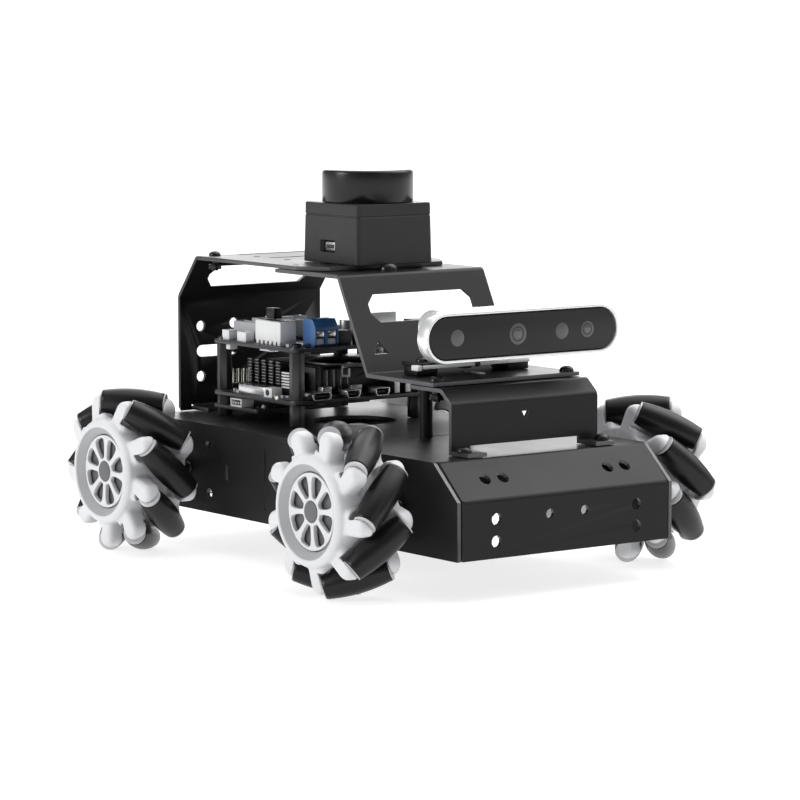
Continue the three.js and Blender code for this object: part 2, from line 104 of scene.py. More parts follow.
def add_node(tree, kind, inputs, **settings):
    node = tree.nodes.new("ShaderNode" + kind)
    for name, value in settings.items():
        setattr(node, name, value)
    for socket, value in inputs.items():
        feed(tree, node.inputs[socket], value)
    return node


def finish(name, colour, rough, metal=0.0, mottle=0.12, patch=60.0, grain=0.0, grain_size=0.3, coat=0.0,
           specular=0.5):
    """A procedural finish: clouded colour, uneven roughness and a fine grain raised in the surface.

    The patch and the grain size are in millimetres.
    """
    unevenness, grain_height = 0.18, 0.00003
    material = bpy.data.materials.new(name)
    material.use_nodes = True
    tree = material.node_tree
    place = tree.nodes.new("ShaderNodeTexCoord").outputs["Object"]

    def noise(size, detail):
        inputs = {"Vector": place, "Scale": 1 / (size * MM), "Detail": detail}
        return add_node(tree, "TexNoise", inputs).outputs["Fac"]

    darker = [c * (1 - mottle) for c in colour]
    lighter = [min(1, c * (1 + mottle)) for c in colour]
    inputs = {"Factor": noise(patch, 5.0), "A": (*darker, 1), "B": (*lighter, 1)}
    tint = add_node(tree, "Mix", inputs, data_type="RGBA")
    smoothest, roughest = rough * (1 - unevenness), min(1, rough * (1 + unevenness))
    inputs = {"Value": noise(patch / 3, 4.0), "To Min": smoothest, "To Max": roughest}
    spread = add_node(tree, "MapRange", inputs)
    looks = {
        "Metallic": metal, "Coat Weight": coat, "Coat Roughness": 0.12, "Specular IOR Level": specular,
        "Base Color": tint.outputs["Result"], "Roughness": spread.outputs["Result"],
    }
    if grain:
        inputs = {"Height": noise(grain_size, 2.0), "Strength": grain, "Distance": grain_height}
        looks["Normal"] = add_node(tree, "Bump", inputs).outputs["Normal"]
    for socket, value in looks.items():
        feed(tree, tree.nodes["Principled BSDF"].inputs[socket], value)
    return material


def circuit_finish(name, colour, trace):
    """Solder mask over copper: blocky traces a shade off the board's own colour."""
    cells_per_metre, trace_spacing, trace_edge = 420, 0.16, 0.1
    material = finish(name, colour, 0.38, mottle=0.1, grain=0.2, grain_size=0.5)
    tree = material.node_tree
    colour_input = tree.nodes["Principled BSDF"].inputs["Base Color"]
    mask = colour_input.links[0].from_socket
    place = tree.nodes.new("ShaderNodeTexCoord").outputs["Object"]
    cells = add_node(tree, "TexVoronoi", {"Vector": place, "Scale": cells_per_metre}, feature="F1",
                     distance="MANHATTAN")
    bands = add_node(tree, "Math", {0: cells.outputs["Distance"], 1: trace_spacing}, operation="PINGPONG")
    line = add_node(tree, "Math", {0: bands.outputs["Value"], 1: trace_edge}, operation="GREATER_THAN")
    inputs = {"Factor": line.outputs["Value"], "A": mask, "B": (*trace, 1)}
    mix = add_node(tree, "Mix", inputs, data_type="RGBA")
    feed(tree, colour_input, mix.outputs["Result"])
    return material


STEEL = finish("coated_steel", (0.010, 0.010, 0.011), 0.38, mottle=0.15, grain=0.35, grain_size=0.35,
               specular=0.18)
# The lighter grey for the sheet's cut edges and bevels is a painted highlight, for the light that these edges
# catch.
STEEL_EDGE_HIGHLIGHT = finish("steel_edge_painted_highlight", (0.085, 0.085, 0.09), 0.36, metal=0.4, patch=12, mottle=0.35)
SCREW = finish("black_oxide_screw", (0.012, 0.012, 0.013), 0.22, metal=0.4, mottle=0.2, patch=6)
POST = finish("black_anodised_post", (0.040, 0.040, 0.042), 0.32, metal=0.4, mottle=0.2, patch=10)
HUB = finish("hub_moulding", (0.66, 0.665, 0.68), 0.50, mottle=0.03, patch=25, grain=0.25, grain_size=0.25)
HUB_WALL = finish("hub_dish_wall", (0.40, 0.403, 0.41), 0.55, mottle=0.03, patch=25, grain=0.25)
HUB_DARK = finish("hub_core", (0.105, 0.106, 0.11), 0.5, mottle=0.1, patch=10, grain=0.3)
WASHER = finish("washer", (0.50, 0.50, 0.51), 0.36, metal=0.3, mottle=0.08, patch=4)
RUBBER = finish("roller_rubber", (0.006, 0.006, 0.0065), 0.33, mottle=0.1, patch=14, grain=0.25, specular=0.3)
PLASTIC = finish("satin_black_plastic", (0.009, 0.009, 0.0095), 0.36, mottle=0.15, patch=20, grain=0.3,
                 specular=0.3)
CASE = finish("range_finder_case", (0.022, 0.022, 0.023), 0.36, mottle=0.08, patch=20, grain=0.35,
              specular=0.3)
GLOSS = finish("gloss_black_cover", (0.005, 0.005, 0.0055), 0.26, mottle=0.2, patch=30, specular=0.34)
GLASS = finish("dark_window", (0.026, 0.025, 0.026), 0.34, mottle=0.06, patch=30, specular=0.14)
LENS = finish("lens_glass", (0.055, 0.052, 0.054), 0.12, mottle=0.3, patch=3, coat=0.6)
LENS_RING = finish("lens_ring", (0.075, 0.073, 0.075), 0.3, mottle=0.1, patch=4)
SILVER = finish("camera_shell_silver", (0.80, 0.805, 0.81), 0.26, metal=0.6, mottle=0.03, grain=0.2,
                grain_size=0.15)
PORT = finish("stamped_port", (0.62, 0.62, 0.63), 0.24, metal=0.95, mottle=0.1, patch=5)
CAN = finish("shield_can", (0.34, 0.345, 0.35), 0.32, metal=0.9, patch=8)
FIN = finish("anodised_fin", (0.016, 0.016, 0.017), 0.36, metal=0.5, mottle=0.2, patch=8)
FIN_TIP = finish("bare_fin_edge", (0.17, 0.172, 0.178), 0.36, metal=0.5, mottle=0.2, patch=5)
CHIP = finish("chip_package", (0.018, 0.018, 0.019), 0.5, mottle=0.2, patch=4, grain=0.5, grain_size=0.1)
PIN = finish("bright_pin", (0.80, 0.78, 0.72), 0.25, metal=0.9, mottle=0.15, patch=4)
WHITE = finish("white_connector", (0.74, 0.745, 0.75), 0.42, mottle=0.05, patch=8, grain=0.2)
GREY = finish("grey_connector", (0.42, 0.43, 0.45), 0.45, mottle=0.06, patch=8, grain=0.2)
BLUE = finish("blue_terminal", (0.035, 0.115, 0.30), 0.40, patch=8, grain=0.25)
BOARD = circuit_finish("computer_solder_mask", (0.014, 0.016, 0.018), (0.034, 0.036, 0.038))
CONTROL = circuit_finish("controller_solder_mask", (0.012, 0.013, 0.016), (0.032, 0.034, 0.04))
WRAP = finish("battery_wrap", (0.014, 0.015, 0.018), 0.34, mottle=0.2, patch=30, grain=0.4, grain_size=1.2)
ZINC = finish("motor_zinc", (0.42, 0.42, 0.43), 0.36, metal=0.9, patch=12, grain=0.3)


# ---- Shape tools, in millimetres ----
def at(x, y, z):
    return Matrix.Translation((x, y, z))


def box(x0, x1, y0, y1, z0, z1):
    shape = bmesh.new()
    bmesh.ops.create_cube(shape, size=1)
    shape.transform(Matrix.Diagonal((x1 - x0, y1 - y0, z1 - z0, 1)))
    shape.transform(at((x0 + x1) / 2, (y0 + y1) / 2, (z0 + z1) / 2))
    return shape


def circle(x, y, radius, sides=24):
    turns = [2 * math.pi * k / sides for k in range(sides)]
    return [(x + radius * math.cos(t), y + radius * math.sin(t)) for t in turns]


def lathe(profile, sides=48, tagged=()):
    """A profile of (radius, height) turned round Z. It closes on itself unless it starts on the axis.

    The bands between profile points that are tagged can take a finish of their own.
    """
    shape = bmesh.new()
    mark = shape.faces.layers.int.new("part")
    rings = []
    for radius, z in profile:
        if radius < 1e-6:
            rings.append([shape.verts.new((0, 0, z))] * sides)
        else:
            rings.append([shape.verts.new((x, y, z)) for x, y in circle(0, 0, radius, sides)])
    last = len(rings) if profile[0][0] > 1e-6 else len(rings) - 1
    for i in range(last):
        a, b = rings[i], rings[(i + 1) % len(rings)]
        for k in range(sides):
            n = (k + 1) % sides
            corners = list(dict.fromkeys([a[k], a[n], b[n], b[k]]))
            if len(corners) > 2:
                shape.faces.new(corners)[mark] = 1 if i in tagged else 0
    bmesh.ops.recalc_face_normals(shape, faces=shape.faces)
    return shape


def rod(radius, a, b, sides=32):
    return lathe([(0, a), (radius, a), (radius, b), (0, b)], sides)


def tube(outer, inner, a, b, sides=40):
    return lathe([(inner, a), (outer, a), (outer, b), (inner, b)], sides)


def rounded(outline, radius, steps=5):
    """The outline with an arc in each corner. One radius, or one for each corner."""
    radii = radius if isinstance(radius, (list, tuple)) else [radius] * len(outline)
    points = []
    for i, corner in enumerate(outline):
        here = Vector(corner)
        back = (Vector(outline[i - 1]) - here).normalized()
        on = (Vector(outline[(i + 1) % len(outline)]) - here).normalized()
        half = back.angle(on) / 2
        if radii[i] <= 0 or half > 1.5:
            points.append(tuple(here))
            continue
        middle = here + (back + on).normalized() * radii[i] / math.sin(half)
        start = here + back * radii[i] / math.tan(half) - middle
        end = here + on * radii[i] / math.tan(half) - middle
        turn = start.angle_signed(end)
        for k in range(steps + 1):
            points.append(tuple(middle + Matrix.Rotation(-turn * k / steps, 2) @ start))
    return points


def plate(outline, thickness, holes=(), edge=0.0):
    """A flat plate in XY from z 0 to its thickness, with holes and rounded edges."""
    curve = bpy.data.curves.new("plate", "CURVE")
    curve.dimensions = "2D"
    curve.fill_mode = "BOTH"
    curve.extrude = thickness / 2 - edge
    curve.bevel_depth = edge
    curve.bevel_resolution = 1
    curve.offset = -edge
    for loop in (outline, *holes):
        spline = curve.splines.new("POLY")
        spline.points.add(len(loop) - 1)
        for point, (x, y) in zip(spline.points, loop):
            point.co = (x, y, 0, 1)
        spline.use_cyclic_u = True
    holder = bpy.data.objects.new("plate", curve)
    mesh = bpy.data.meshes.new_from_object(holder)
    bpy.data.objects.remove(holder)
    bpy.data.curves.remove(curve)
    shape = bmesh.new()
    shape.from_mesh(mesh)
    bpy.data.meshes.remove(mesh)
    bmesh.ops.remove_doubles(shape, verts=shape.verts, dist=1e-4)
    bmesh.ops.recalc_face_normals(shape, faces=shape.faces)
    shape.transform(at(0, 0, thickness / 2))
    return shape


def rectangle(x0, x1, y0, y1):
    return [(x0, y0), (x1, y0), (x1, y1), (x0, y1)]


def pointing(axis, place=(0, 0, 0)):
    """Turns local Z to the axis, and moves the shape to its place."""
    turn = Vector((0, 0, 1)).rotation_difference(Vector(axis)).to_matrix().to_4x4()
    return Matrix.Translation(place) @ turn


# A plate's own x, y and thickness run along the robot's x, z and y, or along its y, z and x.
FACING_FRONT = Matrix(((1, 0, 0, 0), (0, 0, 1, 0), (0, 1, 0, 0), (0, 0, 0, 1)))
FACING_SIDE = Matrix(((0, 0, 1, 0), (1, 0, 0, 0), (0, 1, 0, 0), (0, 0, 0, 1)))


def round_edges(shape, edges, radius, segments=2, **more):
    bmesh.ops.bevel(shape, geom=edges, offset=radius, offset_type="OFFSET", segments=segments, profile=0.5,
                    affect="EDGES", clamp_overlap=True, **more)


def edges_past(shape, angle):
    """The edges where two faces meet at more than the angle, in radians."""
    return [e for e in shape.edges if len(e.link_faces) == 2 and e.calc_face_angle(0) > angle]


def finished_mesh(name, shape, finishes, smooth):
    """The shape as a mesh in metres, smooth except at edges past an angle in degrees."""
    mesh = bpy.data.meshes.new(name)
    shape.transform(Matrix.Scale(MM, 4))
    shape.to_mesh(mesh)
    shape.free()
    for material in finishes:
        mesh.materials.append(material)
    mesh.shade_smooth()
    mesh.set_sharp_from_angle(angle=math.radians(smooth))
    return mesh


class Assembly:
    """Shapes gathered into one mesh, each with its finish and its rounded edges."""

    def __init__(self):
        self.shape = bmesh.new()
        self.finishes = []

    def add(self, shape, material, place=None, edge=0.0, tagged_material=None, segments=2):
        if edge:
            round_edges(shape, edges_past(shape, 0.6), edge, segments)
        mark = shape.faces.layers.int.get("part")
        for face in shape.faces:
            tagged = tagged_material is not None and face[mark] == 1
            face.material_index = self.index(tagged_material if tagged else material)
        if place is not None:
            shape.transform(place)
            if place.determinant() < 0:
                bmesh.ops.reverse_faces(shape, faces=shape.faces)
        mesh = bpy.data.meshes.new("gathered")
        shape.to_mesh(mesh)
        shape.free()
        self.shape.from_mesh(mesh)
        bpy.data.meshes.remove(mesh)

    def box(self, x0, x1, y0, y1, z0, z1, material, edge=0.0):
        self.add(box(x0, x1, y0, y1, z0, z1), material, edge=edge)

    def index(self, material):
        if material not in self.finishes:
            self.finishes.append(material)
        return self.finishes.index(material)

    def mesh(self, name, smooth=40):
        return finished_mesh(name, self.shape, self.finishes, smooth)

    def piece(self, name, slot, replaces=(), body="chassis", smooth=40):
        piece(name, self.mesh(name, smooth), body, replaces)


def blocks(made, base, rows):
    """Boxes that stand on a base, or reach down from it: x0, x1, y0, y1, z0, z1, finish and rounded edge."""
    for x0, x1, y0, y1, z0, z1, material, edge in rows:
        made.box(x0, x1, y0, y1, base + z0, base + z1, material, edge)


def piece(name, mesh, body, replaces=(), place=None, flat_faces=False):
    """A mesh as a visible piece that rides a body, in place of the CAD nodes that it replaces."""
    made = new_object(name, mesh)
    if place is not None:
        made.matrix_world = place
    if flat_faces:
        weighted = made.modifiers.new("flat faces", "WEIGHTED_NORMAL")
        weighted.keep_sharp = True
    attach(made, body)
    if replaces:
        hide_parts(*replaces)


# ---- Camera, floor and light ----
# Parts of the sky: the direction they lie in, the cosine where they begin, and their strength.
SKY = (
    ((0, 0, 1), -2.5, 0.22),
    ((0.2, 0.1, 1), 0.62, 1.8),
    ((0.6, 0.8, 0.08), 0.86, 3.0),
    ((0.65, -0.2, 0.75), 0.72, 3.0),
    ((-1, 0.5, 0.1), 0.5, 0.35),
)
BACKDROP = 1.2  # the strength that the camera sees, which is plain white
PAPER_GLOW = 0.78
FLOOR_HALF = 150  # in metres
# Lights: the place and the size in metres, and the power in watts.
LIGHTS = (
    ("key", (-2.2, 0.75, 0.9), 1.0, 27),
    ("front_fill", (0.4, -2.3, 0.9), 0.9, 2),
    ("back_rim", (0.9, 1.9, 1.5), 1.2, 8),
)


def studio():
    scene = bpy.context.scene
    scene.view_settings.view_transform = "Standard"
    camera = new_object("camera", bpy.data.cameras.new("camera"))
    camera.location = CAMERA_PLACE
    camera.rotation_euler = (CAMERA_TARGET - CAMERA_PLACE).to_track_quat("-Z", "Y").to_euler()
    camera.data.lens = CAMERA_LENS
    camera.data.sensor_width = SENSOR_WIDTH
    camera.data.clip_end = 60
    scene.camera = camera

    floor_mesh = bpy.data.meshes.new("floor")
    shape = bmesh.new()
    bmesh.ops.create_grid(shape, x_segments=8, y_segments=8, size=FLOOR_HALF)
    shape.to_mesh(floor_mesh)
    shape.free()
    floor = new_object("floor", floor_mesh)
    paper = finish("lit_white_paper", (0.35, 0.35, 0.35), 0.8, mottle=0.01, patch=900, specular=0.1)
    glow = paper.node_tree.nodes["Principled BSDF"].inputs
    glow["Emission Color"].default_value = (1, 1, 1, 1)
    glow["Emission Strength"].default_value = PAPER_GLOW
    floor_mesh.materials.append(paper)

    world = bpy.data.worlds.new("studio")
    world.use_nodes = True
    scene.world = world
    tree = world.node_tree
    place = tree.nodes.new("ShaderNodeTexCoord").outputs["Generated"]
    total = 0.0
    for toward, start, strength in SKY:
        inputs = {0: place, 1: Vector(toward).normalized()}
        lobe = add_node(tree, "VectorMath", inputs, operation="DOT_PRODUCT")
        inputs = {"Value": lobe.outputs["Value"], "From Min": start, "To Max": strength}
        level = add_node(tree, "MapRange", inputs, interpolation_type="SMOOTHSTEP")
        total = add_node(tree, "Math", {0: total, 1: level.outputs["Result"]}).outputs["Value"]
    seen = tree.nodes.new("ShaderNodeLightPath").outputs["Is Camera Ray"]
    strength = add_node(tree, "Mix", {"Factor": seen, "A": total, "B": BACKDROP}).outputs["Result"]
    background = tree.nodes["Background"].inputs
    feed(tree, background["Color"], (1, 1, 1, 1))
    feed(tree, background["Strength"], strength)

    for name, place, size, power in LIGHTS:
        light = new_object(name, bpy.data.lights.new(name, "AREA"))
        light.data.size = size
        light.data.energy = power
        light.location = place
        light.rotation_euler = (Vector((0, 0, 0.06)) - Vector(place)).to_track_quat("-Z", "Y").to_euler()


# ---- Wheels ----
def roller_place(k, hand):
    """The middle of a roller's axis, and its direction, for roller k of a wheel with hand 1 or -1."""
    angle = k * 2 * math.pi / ROLLERS
    radial = Vector((0, -math.sin(angle), math.cos(angle)))
    around = Vector((0, -math.cos(angle), -math.sin(angle)))
    return radial * ROLLER_AXIS_RADIUS, (Vector((1, 0, 0)) + around * hand).normalized()


def barrel_point(t):
    """Radius and station of the roller's barrel, for a point t along its axis."""
    reach = math.hypot(ROLLER_AXIS_RADIUS, t * math.sqrt(0.5))
    ratio = WHEEL_RADIUS / reach - 1
    return ratio * math.sqrt(reach * reach - t * t / 4), t * (1 + ratio / 2)


def roller_mesh():
    """A rubber barrel with a rounded lip round a sunk face at each end."""
    lip = 0.55
    barrel = [barrel_point(t) for t in np.linspace(-ROLLER_HALF, ROLLER_HALF, 25)]
    barrel = [(r, h) for r, h in barrel if abs(h) < ROLLER_HALF - lip]
    end_radius = barrel[0][0]
    corner = [(end_radius - lip + lip * math.sin(a), ROLLER_HALF - lip + lip * math.cos(a))
              for a in (0, 0.5, 1.0)]
    sunk = [(1.6, ROLLER_HALF - 1.0), (3.0, ROLLER_HALF - 1.0), (3.2, ROLLER_HALF - 0.1), (3.4, ROLLER_HALF)]
    half = sunk + corner
    profile = [(r, -h) for r, h in half] + barrel + [(r, h) for r, h in reversed(half)]
    made = Assembly()
    made.add(lathe(profile, 48), RUBBER)
    return made.mesh("roller", 50)


def smooth_union(a, b, width):
    blend = np.clip(0.5 + 0.5 * (b - a) / width, 0, 1)
    return b + (a - b) * blend - width * blend * (1 - blend)


def soft_cross(u, v, soft):
    """The distance to where both u and v are negative, with the corner between them rounded."""
    outside = np.hypot(np.maximum(u + soft, 0), np.maximum(v + soft, 0))
    return outside + np.minimum(np.maximum(u + soft, v + soft), 0) - soft


def hub_moulding(step=0.5):
    """The hub's ring and its fingers as one flowing body, worked out as a distance field."""
    ring_inner, ring_outer = 14.9, 20.7
    chamfer_radius, chamfer_depth, chamfer_width = 19.0, 2.6, 2.0
    dish_radius, dish_floor = 18.2, 9.5
    finger_start, finger_length, finger_x = 14, 12.6, 8.4
    finger_half, finger_taper, finger_depth = 5.5, 1.2, 4.4
    roller_room, reach = 6.5, 3.0
    xs = np.arange(-15.5, 16.5, step, dtype=np.float32)
    ys = np.arange(-34, 34.5, step, dtype=np.float32)
    X, Y, Z = np.meshgrid(xs, ys, ys, indexing="ij")
    R = np.sqrt(Y * Y + Z * Z)

    def finger(angle, side):
        radial = Z * math.cos(angle) - Y * math.sin(angle)
        across = Y * math.cos(angle) + Z * math.sin(angle)
        share = np.clip((radial - finger_start) / finger_length, 0, 1)
        half = finger_half - finger_taper * share
        aside = np.hypot(radial - finger_start - finger_length * share, across) - half
        deep = np.abs(X - side * finger_x) - finger_depth + 0.1 * np.maximum(radial - 20, 0)
        return soft_cross(aside, deep, 2.1)

    ring = soft_cross(np.abs(R - (ring_inner + ring_outer) / 2) - (ring_outer - ring_inner) / 2,
                      np.abs(X - (HUB_RIM_FACE - LOBE_FACE) / 2) - (HUB_RIM_FACE + LOBE_FACE) / 2, 0.8)
    chamfer = (R - chamfer_radius) * chamfer_width + (X - HUB_RIM_FACE) * chamfer_depth
    body = -smooth_union(-ring, -chamfer / math.hypot(chamfer_width, chamfer_depth), 0.6)
    for k in range(ROLLERS):
        angle = (k + 0.5) * 2 * math.pi / ROLLERS
        for side in (1, -1):
            body = smooth_union(body, finger(angle, side), 1.2)
    for k in range(ROLLERS):
        centre, axis = roller_place(k, 1)
        px, py, pz = X - centre.x, Y - centre.y, Z - centre.z
        along = px * axis.x + py * axis.y + pz * axis.z
        away = np.sqrt(np.maximum(px * px + py * py + pz * pz - along * along, 0))
        room = np.maximum(away - roller_room, np.abs(along) - ROLLER_HALF - 0.45)
        body = -smooth_union(-body, room, 0.8)
    body = np.maximum(body, ring_inner - R)
    body = np.maximum(body, -np.maximum(R - dish_radius, dish_floor - X))
    grid = openvdb.FloatGrid(background=reach)
    grid.copyFromArray(np.ascontiguousarray(np.clip(body, -reach, reach)))
    points, quads = grid.convertToQuads(isovalue=0.0)
    points = points * step + np.array([xs[0], ys[0], ys[0]])
    shape = bmesh.new()
    corners = [shape.verts.new(p) for p in points]
    for quad in quads:
        shape.faces.new([corners[i] for i in quad])
    bmesh.ops.recalc_face_normals(shape, faces=shape.faces)
    return shape


def spoke_disc():
    """The disc in the hub's dish: eight flaring spokes between rounded petals."""
    petals = []
    for k in range(SPOKES):
        centre = (k + 0.5) * 2 * math.pi / SPOKES
        side = [(radius, math.pi / SPOKES - math.asin(half / radius))
                for radius, half in ((5.3, 1.0), (8.0, 0.95), (10.6, 1.15), (13.2, 1.9))]
        loop = [(r, centre - s) for r, s in side]
        loop += [(13.4, centre + s * side[-1][1]) for s in (-0.5, 0, 0.5)]
        loop += [(r, centre + s) for r, s in reversed(side)]
        outline = [(r * math.cos(a), r * math.sin(a)) for r, a in loop]
        radii = [0.9, 0, 0, 1.3, 0, 0, 0, 1.3, 0, 0, 0.9]
        petals.append(rounded(outline, radii, 4))
    return plate(circle(0, 0, 14.4, 96), 1.8, petals, edge=0.25)


def hub_mesh(hand):
    made = Assembly()
    flip = Matrix.Diagonal((1, hand, 1, 1))
    outward = pointing((1, 0, 0))
    made.add(hub_moulding(), HUB, flip)
    rim = [
        (15.4, 9.4), (18.6, 9.4), (19.3, 14.3), (19.15, 14.8), (18.7, 15.12), (18.2, HUB_RIM_FACE),
        (17.85, 15.1), (17.65, 14.8), (15.0, 12.3), (14.8, 12.0), (14.8, 9.4),
    ]
    # The bands from the inner lip down to the floor of the dish take a darker grey than the rest of the hub.
    made.add(lathe(rim, 128, tagged=(7, 8, 9)), HUB, outward, tagged_material=HUB_WALL)
    made.add(spoke_disc(), HUB, outward @ at(0, 0, 10.9))
    cap = [(0, 10), (4.2, 10), (4.2, 12.7), (3.9, 13.0), (2.4, 13.15), (0, 13.2)]
    boss = [(0, -LOBE_FACE - 0.4), (6.5, -LOBE_FACE - 0.4), (7, -LOBE_FACE + 0.2), (7, 9), (0, 9)]
    for shape, material, edge in (
        (rod(15.2, 9.2, 10.4, 64), HUB_DARK, 0), (lathe(cap, 48), HUB_DARK, 0),
        (tube(15.2, 5.2, 8, 9.3, 64), HUB, 0), (lathe(boss, 40), HUB, 0),
        (rod(6, -17, 1 - LOBE_FACE, 6), PIN, 0.5), (rod(2.5, -29.5, -16), ZINC, 0.2),
    ):
        made.add(shape, material, outward, edge)
    for k in range(SPOKES):
        turn = Matrix.Rotation((k + 0.5) * 2 * math.pi / SPOKES, 4, "X")
        made.add(box(4, 15.2, -0.8, 0.8, 2 - LOBE_FACE, 9), HUB, edge=0.3, place=turn @ outward)
    made.add(rod(1.5, -20.5, -13.4, 16), SCREW, edge=0.2, place=at(-14.6, 0, 21))
    for k in range(ROLLERS):
        centre, axis = roller_place(k, hand)
        for end in (1, -1):
            face = pointing(axis * end, centre)
            made.add(tube(4.4, 1.4, ROLLER_HALF + 0.06, ROLLER_HALF + 0.5, 36), WASHER, edge=0.08, place=face)
        made.add(rod(1.25, -ROLLER_HALF - 2, ROLLER_HALF + 2, 16), ZINC, pointing(axis, centre))
    return made.mesh("hub", 35)


def wheels():
    hubs = {hand: hub_mesh(hand) for hand in (1, -1)}
    roller = roller_mesh()
    for tag, side in CORNERS:
        axle_y, phase, hand = FRONT_AXLE_Y, FRONT_PHASE, 1
        if tag[0] == "r":
            axle_y, phase, hand = REAR_AXLE_Y, REAR_PHASE, -1
        axle = Matrix.Translation(Vector((side * WHEEL_X, axle_y, WHEEL_RADIUS)) * MM)
        facing = Matrix.Rotation(math.pi if side < 0 else 0, 4, "Z")
        place = axle @ facing @ Matrix.Rotation(math.radians(side * phase), 4, "X")
        local_hand = side * hand
        piece("hub_" + tag, hubs[local_hand], "wheel_" + tag, ["wheel_hub_" + tag], place)
        for k in range(ROLLERS):
            centre, axis = roller_place(k, local_hand)
            name = f"{tag}_{k + 1}"
            piece("rubber_roller_" + name, roller, "roller_" + name, ["roller_" + name],
                  place @ pointing(axis, centre * MM))


# ---- Sheet metal ----
def breadth(face):
    """How wide a face is: a strip's width, or half the width of a square one."""
    return 2 * face.calc_area() / face.calc_perimeter()


def folded_sheet(node, name):
    """The CAD sheet with its folds rounded as a press brake leaves them, and its cut edges softened and
    lightened as a painted highlight.
    """
    outer_radius, inner_radius, cut_edge = 2.2, 0.7, 0.2
    thickness_breadth, least_breadth, least_length, least_turn = 1.6, 2.4, 20, 0.4
    shape = bmesh.new()
    shape.from_mesh(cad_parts[node].data)
    bmesh.ops.remove_doubles(shape, verts=shape.verts, dist=2e-6)
    shape.transform(Matrix.Scale(1 / MM, 4))
    bmesh.ops.dissolve_limit(shape, angle_limit=math.radians(1), verts=shape.verts, edges=shape.edges)
    # Faces as narrow as the sheet is thick take the lighter edge grey, a painted highlight.
    for face in shape.faces:
        face.material_index = 1 if breadth(face) < thickness_breadth else 0
    while True:
        folds = {}
        for edge in shape.edges:
            if len(edge.link_faces) != 2 or edge.calc_length() < least_length:
                continue
            turn = edge.calc_face_angle(0)
            if turn < least_turn or min(breadth(f) for f in edge.link_faces) < least_breadth:
                continue
            radius = outer_radius if edge.is_convex else inner_radius
            folds.setdefault(round(radius * math.tan(turn / 2), 2), []).append(edge)
        if not folds:
            break
        offset, edges = max(folds.items())
        round_edges(shape, edges, offset, segments=6)
    # The small bevels on convex edges take the same lighter grey, a painted highlight.
    round_edges(shape, [e for e in edges_past(shape, 0.55) if e.is_convex], cut_edge, material=1)
    mesh = finished_mesh(name, shape, (STEEL, STEEL_EDGE_HIGHLIGHT), 24)
    piece(name, mesh, "chassis", [node], flat_faces=True)


def button_screw(made, place, normal=(0, 0, 1), head=5.6, height=2.1, shank=0.0):
    """A domed screw head with a round socket, and the end of its shank with a nut below."""
    r, h = head / 2, height
    dome = [(0, h * 0.4), (r * 0.42, h * 0.4), (r * 0.46, h), (r * 0.7, h * 0.9), (r * 0.9, h * 0.62),
            (r, h * 0.3), (r, 0), (0, 0)]
    turn = pointing(normal, place)
    made.add(lathe(dome, 32), SCREW, turn)
    if shank:
        made.add(rod(1.45, -shank, 0.1, 20), SCREW, edge=0.15, place=turn)
        made.add(rod(3.0, -shank + 0.6, -shank + 2.9, 6), SCREW, edge=0.2, place=turn)


def fasteners():
    made = Assembly()
    for x in (-33, 33):
        button_screw(made, (x, -88.6, DECK_Z + 1.8), shank=6)
        button_screw(made, (x * 0.945, -69.6, SHELF_Z), shank=7.5)
        button_screw(made, (x * 0.85, 83, CAGE_TOP_Z), head=4.8, height=1.7, shank=6)
        button_screw(made, (x * 0.36, 93.5, DECK_Z + 1.8), shank=6)
    button_screw(made, (-6.3, -5.6, CAGE_TOP_Z - 1.8), head=7.2, height=3.0, shank=6)
    for x in (-9.5, 9.5):
        button_screw(made, (x, -34.5, SHELF_Z), head=5.0, height=1.8)
    for x, y in POSTS:
        button_screw(made, (x, y, CONTROL_Z), head=5.0, height=1.8)
        button_screw(made, (x, y, DECK_Z - 1.5), normal=(0, 0, -1), head=5.0, height=1.8)
    for side in (-1, 1):
        for axle_y in (FRONT_AXLE_Y, REAR_AXLE_Y):
            for y in (-8.5, 8.5):
                place = (side * 51.2, axle_y + y, WHEEL_RADIUS)
                button_screw(made, place, normal=(side, 0, 0), head=5.0, height=1.7)
    made.piece("fasteners", "black_steel")


